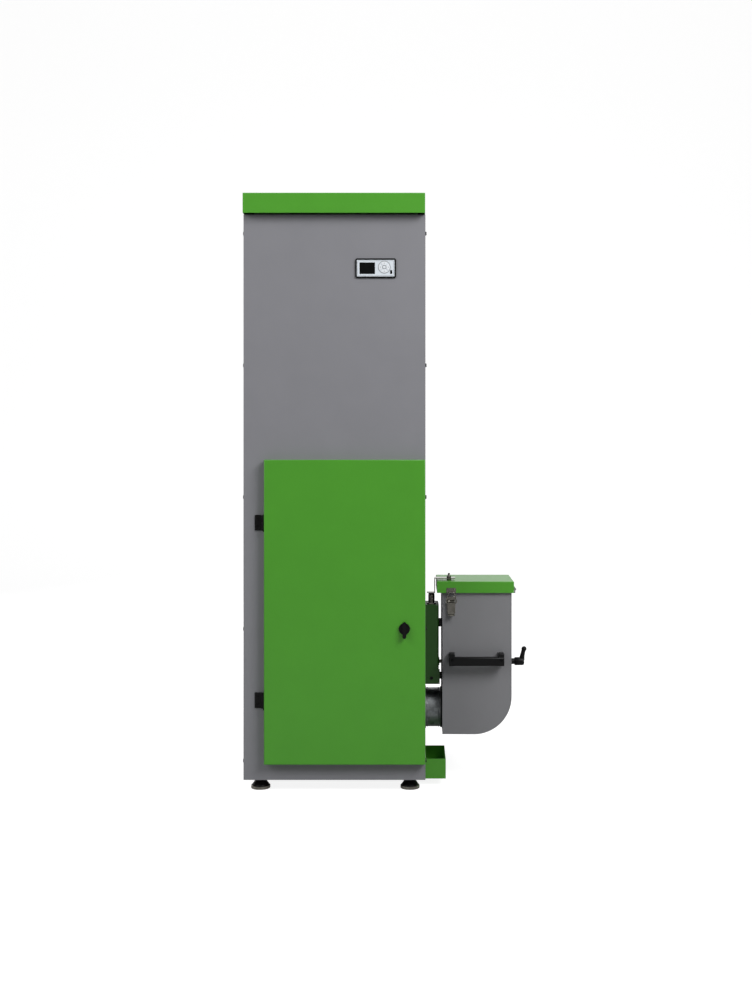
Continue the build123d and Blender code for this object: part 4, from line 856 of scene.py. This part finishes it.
class BOILER_OT_display(BoilerOperator, bpy.types.Operator):
    """Builds the display's bezel, fascia, border line, key ring and keys"""

    bl_idname = "boiler.display"
    bl_label = "Display"

    def build(self, colours, sizes):
        soft_node("display_frame", "black_plastic", sizes.small_edge)
        soft_node("display_fascia", "silver_plastic", sizes.small_edge / 3)
        for node in ("key_centre", "key_right", "key_down", "key_left", "key_up"):
            soft_node(node, "key_plastic", sizes.small_edge / 3)
        low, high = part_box("display_fascia")
        left, face, bottom = drawn(low)
        right, _, top = drawn(high)
        inset = 2.2
        x = (left + inset, right - inset)
        z = (bottom + inset, top - inset)
        bm = bmesh.new()
        line = [(px, face, pz) for px, pz in rounded_outline(x, z, 2.5)]
        drawn_along(bm, line, [0.35] * len(line), 8, True)
        add_piece("fascia_border", close_mesh(bm, "fascia_border"), "casing", "grey_plastic")
        key_low, key_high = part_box("key_centre")
        middle = (key_low + key_high) / 2
        bm = bmesh.new()
        centre = Vector((middle.x, low.y, middle.z))
        turned_ring(bm, [(14.9, -0.2), (16.2, -0.2), (16.2, 0.35), (14.9, 0.35)], centre, -Y_AXIS)
        turned_ring(bm, [(4.0, -0.2), (5.2, -0.2), (5.2, 0.3), (4.0, 0.3)], centre, -Y_AXIS)
        add_piece("key_rings", close_mesh(bm, "key_rings"), "casing", "grey_plastic")
        for quarter, key in enumerate(("key_right", "key_down", "key_left", "key_up")):
            key_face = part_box(key)[0].y
            bm = bmesh.new()
            turn = Matrix.Rotation(math.radians(90 * quarter), 4, "Y")
            tip = [turn @ Vector((px, 0, pz)) * MM for px, pz in ((11.9, 0), (9.3, 1.6), (9.3, -1.6))]
            front = [bm.verts.new(Vector((middle.x, key_face - 0.12 * MM, middle.z)) + p) for p in tip]
            back = [bm.verts.new(Vector((middle.x, key_face + 0.2 * MM, middle.z)) + p) for p in tip]
            bm.faces.new(front)
            bm.faces.new(list(reversed(back)))
            for i in range(3):
                j = (i + 1) % 3
                bm.faces.new((front[i], front[j], back[j], back[i]))
            bmesh.ops.recalc_face_normals(bm, faces=bm.faces)
            add_piece(key + "_arrow", close_mesh(bm, key + "_arrow"), key, "grey_plastic")


class BOILER_OT_bracket(BoilerOperator, bpy.types.Operator):
    """Builds the docking bracket with its foot plate, the threaded sensor and the buffers"""

    bl_idname = "boiler.bracket"
    bl_label = "Docking bracket"

    def build(self, colours, sizes):
        soft_node("dock_bracket", "dark_green_paint", sizes.fold_edge)
        soft_node("dock_buffers", "rubber", sizes.small_edge)
        low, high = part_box("dock_bracket")
        bm = bmesh.new()
        front = drawn(low)[1]
        plate = front - 0.9
        block(bm, (235.2, drawn(high)[0] - 0.5), (plate, front + 0.5), (254.2, 294.0))
        bevel_folds(bm, 0.5 * MM)
        add_piece("bracket_foot_plate", close_mesh(bm, "bracket_foot_plate"), "casing", "dark_green_paint")
        places = [(at(252.5, plate, 270.0), -Y_AXIS)]
        screws("bracket_screw", "casing", "black_plastic", places, 4.5, 2.4, 2.0)
        sensor_low, sensor_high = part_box("ash_sensor")
        middle = (sensor_low + sensor_high) / 2
        top = sensor_high.z / MM
        bottom = sensor_low.z / MM
        bm = bmesh.new()
        foot = Vector((middle.x, middle.y, 0))
        turned(bm, [(7.6, bottom), (8.5, bottom + 1), (8.5, top - 4)], foot, Z_AXIS)
        add_piece("sensor_barrel", close_mesh(bm, "sensor_barrel"), "casing", "zinc_steel", "ash_sensor")
        bm = bmesh.new()
        turned(bm, [(8.2, top - 4.2), (8.2, top - 1), (7.4, top)], foot, Z_AXIS)
        add_piece("sensor_cap", close_mesh(bm, "sensor_cap"), "casing", "black_plastic")
        start = Vector((middle.x, middle.y, (bottom + 1.5) * MM))
        pitch = sizes.thread_pitch / MM
        length = top - bottom - 9
        thread("sensor_thread", "casing", "zinc_steel", [(start, Z_AXIS)], 8.45, length, pitch, 0.55)
        above = Vector((middle.x, middle.y, high.z))
        below = Vector((middle.x, middle.y, high.z - 3 * MM))
        nuts("sensor_nuts", "casing", "zinc_steel", [(above, Z_AXIS), (below, -Z_AXIS)], 13, 4)


class BOILER_OT_duct(BoilerOperator, bpy.types.Operator):
    """Builds the ash duct's rolled beads and its lock seam, and the spill tray"""

    bl_idname = "boiler.duct"
    bl_label = "Ash duct and tray"

    def build(self, colours, sizes):
        soft_node("spill_tray", "green_paint", sizes.small_edge)
        bead = sizes.duct_bead / 2 / MM
        ring_row("duct_beads", "galvanised", at(241.5, DUCT_Y, DUCT_Z), X_AXIS, 52.2, bead, 31.0, 2)
        bm = bmesh.new()
        block(bm, (238.0, 278.0), (DUCT_Y - 53.4, DUCT_Y - 51.5), (DUCT_Z + 3.0, DUCT_Z + 8.5))
        bevel_folds(bm, 0.4 * MM)
        add_piece("duct_seam", close_mesh(bm, "duct_seam"), "casing", "galvanised")


class BOILER_OT_bin(BoilerOperator, bpy.types.Operator):
    """Builds the ash bin with its welded rims, the handles and the lid with its fittings"""

    bl_idname = "boiler.bin"
    bl_label = "Ash bin"

    def build(self, colours, sizes):
        soft_node("ash_bin", "bin_paint", sizes.small_edge)
        soft_node("bin_handles", "black_plastic", sizes.fold_edge * 1.5)
        soft_node("bin_lid", "green_paint", sizes.fold_edge * 0.7)
        self.rim()
        self.handle_screws()
        self.target()

    def rim(self):
        """The folded edge that runs round the bin's front and back faces."""
        inset = 0.4
        left = drawn(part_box("ash_bin")[0])[0]
        right = left + BIN_WIDTH
        radius = BIN_CORNER_R - inset
        turn_x, turn_z = right - BIN_CORNER_R, BIN_BOTTOM + BIN_CORNER_R
        steps = 16
        for name, y in zip(("bin_rim_front", "bin_rim_back"), BIN_FACES_Y):
            points = [(left + inset, y, z) for z in (BIN_TOP, (BIN_TOP + BIN_BOTTOM) / 2, BIN_BOTTOM + inset)]
            for i in range(steps + 1):
                angle = math.radians(-90 + 90 * i / steps)
                points.append((turn_x + radius * math.cos(angle), y, turn_z + radius * math.sin(angle)))
            points.append((right - inset, y, BIN_TOP))
            bm = bmesh.new()
            drawn_along(bm, points, [0.9] * len(points), 10)
            add_piece(name, close_mesh(bm, name), "bin", "bin_paint")

    def handle_screws(self):
        """The screw heads in the two posts of each handle, set just into the plastic."""
        low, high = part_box("bin_handles")
        z = (low.z + high.z) / 2
        places = []
        for y, axis in ((low.y + 0.2 * MM, -Y_AXIS), (high.y - 0.2 * MM, Y_AXIS)):
            for x in (low.x + 8 * MM, high.x - 8 * MM):
                places.append((Vector((x, y, z)), axis))
        screws("handle_screws", "bin", "black_plastic", places, 4.0, 0.2, 1.9)

    def target(self):
        """The target strip over the sensor, on a threaded stud between two nuts, and the latch's catch."""
        stud = at(STUD_X, STUD_Y, 0)
        bm = bmesh.new()
        block(bm, (260.0, 316.0), STRIP_Y, (536.0, 538.0))
        block(bm, (260.0, 262.0), STRIP_Y, (497.5, 536.2))
        block(bm, (240.5, 260.2), STRIP_Y, (497.5, 499.5))
        bevel_folds(bm, 0.5 * MM)
        turned(bm, [(3.0, 529.5), (3.0, 549.0), (2.2, 550.0)], stud, Z_AXIS, 24)
        turned(bm, [(6.2, 538.0), (6.2, 538.8)], stud, Z_AXIS, 32)
        block(bm, CATCH_X, (CATCH_BACK_Y - 1.5, CATCH_BACK_Y), (CATCH_BOTTOM, 514.0))
        block(bm, CATCH_X, (CATCH_BACK_Y - 4.0, CATCH_BACK_Y), (CATCH_BOTTOM, CATCH_BOTTOM + 1.5))
        add_piece("target_strip", close_mesh(bm, "target_strip"), "lid", "zinc_steel", "lid_fittings")
        places = [(at(STUD_X, STUD_Y, z), Z_AXIS) for z in (531.0, 538.8)]
        nuts("target_nuts", "lid", "zinc_steel", places, 5.77, 4.6)
        places = [(at(STUD_X, STUD_Y, 543.6), Z_AXIS)]
        thread("target_thread", "lid", "zinc_steel", places, 2.9, 5.0, 1.0, 0.35)
        places = [(at(x, CATCH_BACK_Y - 1.5, 509.5), -Y_AXIS) for x in (297.0, 312.6)]
        screws("catch_rivets", "lid", "zinc_steel", places, 2.2, 1.0, 0.5)


class BOILER_OT_latch(BoilerOperator, bpy.types.Operator):
    """Builds the toggle latch's base with rivets, and its lever with a curled tip"""

    bl_idname = "boiler.latch"
    bl_label = "Toggle latch"

    def build(self, colours, sizes):
        soft_node("latch_base", "zinc_steel", 0.25 * MM)
        soft_node("latch_lever", "zinc_steel", 0.2 * MM)
        low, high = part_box("latch_lever")
        side = 5.0
        radius = 2.0
        length = (high.x - low.x) / MM - 2 * side
        start = Vector((low.x + side * MM, low.y + radius * MM, low.z + radius * MM))
        bm = bmesh.new()
        turned(bm, [(1.6, 0.0), (radius, 0.4), (radius, length - 0.4), (1.6, length)], start, X_AXIS, 24)
        add_piece("latch_curl", close_mesh(bm, "latch_curl"), "latch", "zinc_steel")
        low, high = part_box("latch_base")
        inset = 4.5 * MM
        plate_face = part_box("ash_bin")[0].y - 1.5 * MM
        places = []
        for x in (low.x + inset, high.x - inset):
            places.append((Vector((x, plate_face, low.z + inset)), -Y_AXIS))
        screws("latch_rivets", "bin", "zinc_steel", places, 2.4, 1.1, 0.5)


class BOILER_OT_lever(BoilerOperator, bpy.types.Operator):
    """Builds the clamping lever with its swept arm and ball, and the draw rod"""

    bl_idname = "boiler.lever"
    bl_label = "Clamping lever"

    def build(self, colours, sizes):
        rod = at(0, ROD_Y, ROD_Z)
        bm = bmesh.new()
        neck = [(8.0, 466.3), (8.0, 481.0)]
        hub = [(10.2, 481.0), (11.0, 482.0), (11.0, 503.0), (9.6, 506.0), (7.0, 507.0)]
        turned(bm, neck + hub, rod, X_AXIS)
        arm_x, sweep, arm_height = 501.0, 6.0, 30
        points = []
        radii = []
        steps = 14
        for i in range(steps + 1):
            share = i / steps
            points.append((arm_x + sweep * share**1.5, ROD_Y, ROD_Z + 4 + arm_height * share))
            radii.append(7.6 - 1.8 * math.sin(math.pi * min(1, share * 1.25) / 2))
        drawn_along(bm, points, radii, 24)
        radius = 7.0
        ball = [(0, -radius)]
        for degrees in range(15, 180, 15):
            angle = math.radians(degrees)
            ball.append((radius * math.sin(angle), -radius * math.cos(angle)))
        ball.append((0, radius))
        turned(bm, ball, at(arm_x + sweep, ROD_Y, ROD_Z + 4 + arm_height), Z_AXIS, 32)
        grip = close_mesh(bm, "clamp_grip", TAPER_DEG)
        add_piece("clamp_grip", grip, "clamp", "black_plastic", "clamp_lever")
        bm = bmesh.new()
        turned(bm, [(4.2, 256.7), (5.0, 257.6), (5.0, 501.0)], rod, X_AXIS, 32)
        turned(bm, [(4.6, 506.6), (4.6, 507.0), (3.8, 507.4)], rod, X_AXIS, 24)
        add_piece("draw_rod", close_mesh(bm, "draw_rod"), "clamp", "zinc_steel")
        places = [(at(257.8, ROD_Y, ROD_Z), X_AXIS)]
        thread("draw_rod_thread", "clamp", "zinc_steel", places, 4.75, 13.0, 1.5, 0.25)


class BOILER_OT_feet(BoilerOperator, bpy.types.Operator):
    """Builds the levelling feet: a plated rim, a black cone and a threaded stud"""

    bl_idname = "boiler.feet"
    bl_label = "Levelling feet"

    def build(self, colours, sizes):
        for corner in ("front_left", "front_right", "back_left", "back_right"):
            body = "foot_" + corner
            low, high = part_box(body)
            middle = Vector(((low.x + high.x) / 2, (low.y + high.y) / 2, 0))
            top = high.z / MM
            bm = bmesh.new()
            rim = [(24.0, 0.0), (25.0, 0.8), (25.0, 7.4), (23.8, 8.6)]
            stud = [(6.0, 8.6), (6.0, top - 1), (5.0, top)]
            turned(bm, rim + stud, middle, Z_AXIS)
            add_piece(body + "_sole", close_mesh(bm, body + "_sole"), body, "zinc_steel", body)
            bm = bmesh.new()
            cone = [(23.2, 8.4), (22.8, 9.4), (20.0, 13.0), (15.0, 20.5), (13.6, 24.5), (13.5, 29.6)]
            turned(bm, cone, middle, Z_AXIS)
            add_piece(body + "_cone", close_mesh(bm, body + "_cone", TAPER_DEG), body, "black_plastic")
            places = [(middle + Z_AXIS * 30.5 * MM, Z_AXIS)]
            thread(body + "_thread", body, "zinc_steel", places, 5.75, top - 32, 1.75, 0.3)


class BOILER_OT_rear(BoilerOperator, bpy.types.Operator):
    """Builds the connections on the back: pipe threads, the flue spigot's bead and the mains inlet"""

    bl_idname = "boiler.rear"
    bl_label = "Rear connections"

    def build(self, colours, sizes):
        soft_node("power_inlet", "black_plastic", sizes.small_edge)
        soft_node("main_switch", "black_plastic", sizes.small_edge)
        ends = ((FLOW_X, FLOW_Z), (-FLOW_X, RETURN_Z))
        places = [(at(x, PIPE_THREAD_Y, z), Y_AXIS) for x, z in ends]
        thread("pipe_threads", "casing", "mild_steel", places, 16.45, 20.0, 2.3, 0.5)
        ring_row("flue_bead", "galvanised", at(0, FLUE_Y, FLUE_Z), Y_AXIS, 40.0, 1.6, 30.0, 2)
        places = [(at(INLET_X + x, INLET_Y, INLET_Z + z), Y_AXIS) for x in (-21, 21) for z in (-27, 27)]
        screws("inlet_screws", "casing", "zinc_steel", places, 2.4, 1.2, 1.1)


class BOILER_OT_inside(BoilerOperator, bpy.types.Operator):
    """Rounds the castings and moulded housings inside, and adds fins, crimps and rivets"""

    bl_idname = "boiler.inside"
    bl_label = "Inside units"

    def build(self, colours, sizes):
        soft_node("control_box", "grey_plastic", sizes.fold_edge)
        soft_node("circulation_pump", "red_paint", sizes.fold_edge)
        soft_node("drive_motors", "motor_paint", sizes.fold_edge)
        feed_motor = at(0, FEED_MOTOR_Y, FEED_MOTOR_Z)
        ring_row("feed_motor_fins", "motor_paint", feed_motor, Y_AXIS, 30.0, 1.2, 7.0, 8)
        ring_row("fan_motor_fins", "motor_paint", at(*FAN_MOTOR), Y_AXIS, 42.0, 1.2, 7.0, 8)
        ring_row("tank_crimp", "red_paint", at(0, TANK_Y, TANK_Z), Y_AXIS, 140.0, 2.2, 5.0, 1)
        rivets = []
        for x in range(-180, 181, 45):
            for y, axis in zip(HOPPER_WALLS_Y, (Y_AXIS, -Y_AXIS)):
                rivets.append((at(x, y, HOPPER_RIVET_Z), axis))
        screws("hopper_rivets", "casing", "galvanised", rivets, 3.0, 1.2, 0.6)


class BOILER_OT_stage(BoilerOperator, bpy.types.Operator):
    """Builds the pale floor, the backdrop, the soft lights and the camera"""

    bl_idname = "boiler.stage"
    bl_label = "Studio"

    def build(self, colours, sizes):
        self.floor(colours)
        self.lights()
        self.world()
        self.camera()

    def white_to_camera(self, tree, surface, strength):
        """Adds white light for camera and glass rays, and behind the boiler for mirror rays too."""
        path = add_node(tree, "ShaderNodeLightPath")
        point = add_node(tree, "ShaderNodeNewGeometry").outputs["Position"]
        y = add_node(tree, "ShaderNodeSeparateXYZ", {0: point}).outputs[1]
        behind = add_node(
            tree, "ShaderNodeMapRange", {"Value": y, "From Min": 0.4, "From Max": 1.4, "To Min": 0.15}
        ).outputs["Result"]
        mirrored = maths(tree, "MULTIPLY", path.outputs["Is Glossy Ray"], behind)
        seen = maths(tree, "MAXIMUM", path.outputs["Is Camera Ray"], mirrored)
        seen = maths(tree, "MAXIMUM", seen, path.outputs["Is Transmission Ray"])
        power = maths(tree, "MULTIPLY", seen, strength)
        glow = add_node(tree, "ShaderNodeEmission", {"Color": (1, 1, 1, 1), "Strength": power})
        return add_node(tree, "ShaderNodeAddShader", {0: surface, 1: glow.outputs[0]}).outputs[0]

    def floor(self, colours):
        """A floor that curves up into a backdrop behind the boiler."""
        material = bpy.data.materials.new("studio_floor")
        material.use_nodes = True
        tree = material.node_tree
        tree.nodes.clear()
        matt = add_node(tree, "ShaderNodeBsdfDiffuse", {"Color": list(colours.floor)})
        surface = self.white_to_camera(tree, matt.outputs[0], 0.88)
        add_node(tree, "ShaderNodeOutputMaterial", {"Surface": surface})
        bm = bmesh.new()
        near, far, bend, top, half_width = -6.0, 4.0, 1.5, 7.0, 8.0
        profile = [(near, 0.0), (far, 0.0)]
        steps = 12
        for i in range(1, steps + 1):
            angle = math.radians(90 * i / steps)
            profile.append((far + bend * math.sin(angle), bend - bend * math.cos(angle)))
        profile.append((far + bend, top))
        rows = [[bm.verts.new((x, y, z)) for x in (-half_width, half_width)] for y, z in profile]
        for low, high in zip(rows, rows[1:]):
            bm.faces.new((low[0], low[1], high[1], high[0]))
        mesh = close_mesh(bm, "studio_sweep", 60)
        mesh.materials.append(material)
        sweep = bpy.data.objects.new("studio_sweep", mesh)
        bpy.context.scene.collection.objects.link(sweep)

    def lights(self):
        """A large soft light at the upper right, weaker ones at the left and behind, and one overhead."""
        aim = at(100, 200, 800)
        for name, place, width, power in (
            ("key_light", (2.0, -2.4, 2.8), 1.8, 99.0),
            ("left_light", (-2.6, -2.3, 2.4), 2.0, 50.0),
            ("top_light", (0.0, 0.3, 4.2), 3.0, 40.0),
            ("back_light", (-1.8, 3.3, 2.5), 2.2, 60.0),
        ):
            data = bpy.data.lights.new(name, "AREA")
            data.shape = "SQUARE"
            data.size = width
            data.energy = power
            lamp = bpy.data.objects.new(name, data)
            lamp.location = place
            lamp.visible_camera = False
            lamp.rotation_euler = (aim - Vector(place)).to_track_quat("-Z", "Y").to_euler()
            bpy.context.scene.collection.objects.link(lamp)

    def world(self):
        """An even pale surround that fills the shadows."""
        world = bpy.data.worlds.new("studio_world")
        bpy.context.scene.world = world
        world.use_nodes = True
        tree = world.node_tree
        tree.nodes.clear()
        path = add_node(tree, "ShaderNodeLightPath")
        seen = maths(tree, "MAXIMUM", path.outputs["Is Camera Ray"], path.outputs["Is Transmission Ray"])
        surface = add_node(
            tree, "ShaderNodeBackground", {"Color": (1, 1, 1, 1), "Strength": spread(tree, seen, 0.16, 1.0)}
        )
        add_node(tree, "ShaderNodeOutputWorld", {"Surface": surface.outputs[0]})

    def camera(self):
        """Level camera, 3.3 m in front of the casing, to the right of its middle."""
        distance = 3300.0
        view_height = 2582.4  # what the frame's height spans at the front panel
        frame_px, shift_px = 1000, (-38.0, -52.0)
        data = bpy.data.cameras.new("studio_camera")
        data.sensor_fit = "VERTICAL"
        data.sensor_height = 36.0
        data.lens = 36.0 * distance / view_height
        data.shift_x = shift_px[0] / frame_px
        data.shift_y = shift_px[1] / frame_px
        data.clip_end = 50
        camera = bpy.data.objects.new("studio_camera", data)
        camera.location = at(205.4, -distance, 887.3)
        camera.rotation_euler = (math.radians(90), 0, 0)
        bpy.context.scene.collection.objects.link(camera)
        bpy.context.scene.camera = camera
        bpy.context.scene.view_settings.view_transform = "Standard"


STEPS = (
    BOILER_OT_finishes,
    BOILER_OT_casing,
    BOILER_OT_roof,
    BOILER_OT_door,
    BOILER_OT_display,
    BOILER_OT_bracket,
    BOILER_OT_duct,
    BOILER_OT_bin,
    BOILER_OT_latch,
    BOILER_OT_lever,
    BOILER_OT_feet,
    BOILER_OT_rear,
    BOILER_OT_inside,
    BOILER_OT_stage,
)


class BOILER_PT_panel(bpy.types.Panel):
    """Lists the boiler's build steps and settings"""

    bl_idname = "BOILER_PT_panel"
    bl_label = "Pellet boiler"
    bl_space_type = "VIEW_3D"
    bl_region_type = "UI"
    bl_category = "Boiler"

    def draw(self, context):
        for group in settings():
            for key in group.__annotations__:
                self.layout.prop(group, key)
        for step in STEPS:
            self.layout.operator(step.bl_idname)


CLASSES = (BoilerColours, BoilerSizes) + STEPS + (BOILER_PT_panel,)


def register():
    for item in CLASSES:
        bpy.utils.register_class(item)
    bpy.types.Scene.boiler_colours = bpy.props.PointerProperty(type=BoilerColours)
    bpy.types.Scene.boiler_sizes = bpy.props.PointerProperty(type=BoilerSizes)


def unregister():
    del bpy.types.Scene.boiler_sizes
    del bpy.types.Scene.boiler_colours
    for item in reversed(CLASSES):
        bpy.utils.unregister_class(item)


def main():
    register()
    for step in STEPS:
        group, name = step.bl_idname.split(".")
        getattr(getattr(bpy.ops, group), name)()


if __name__ == "__main__":
    main()
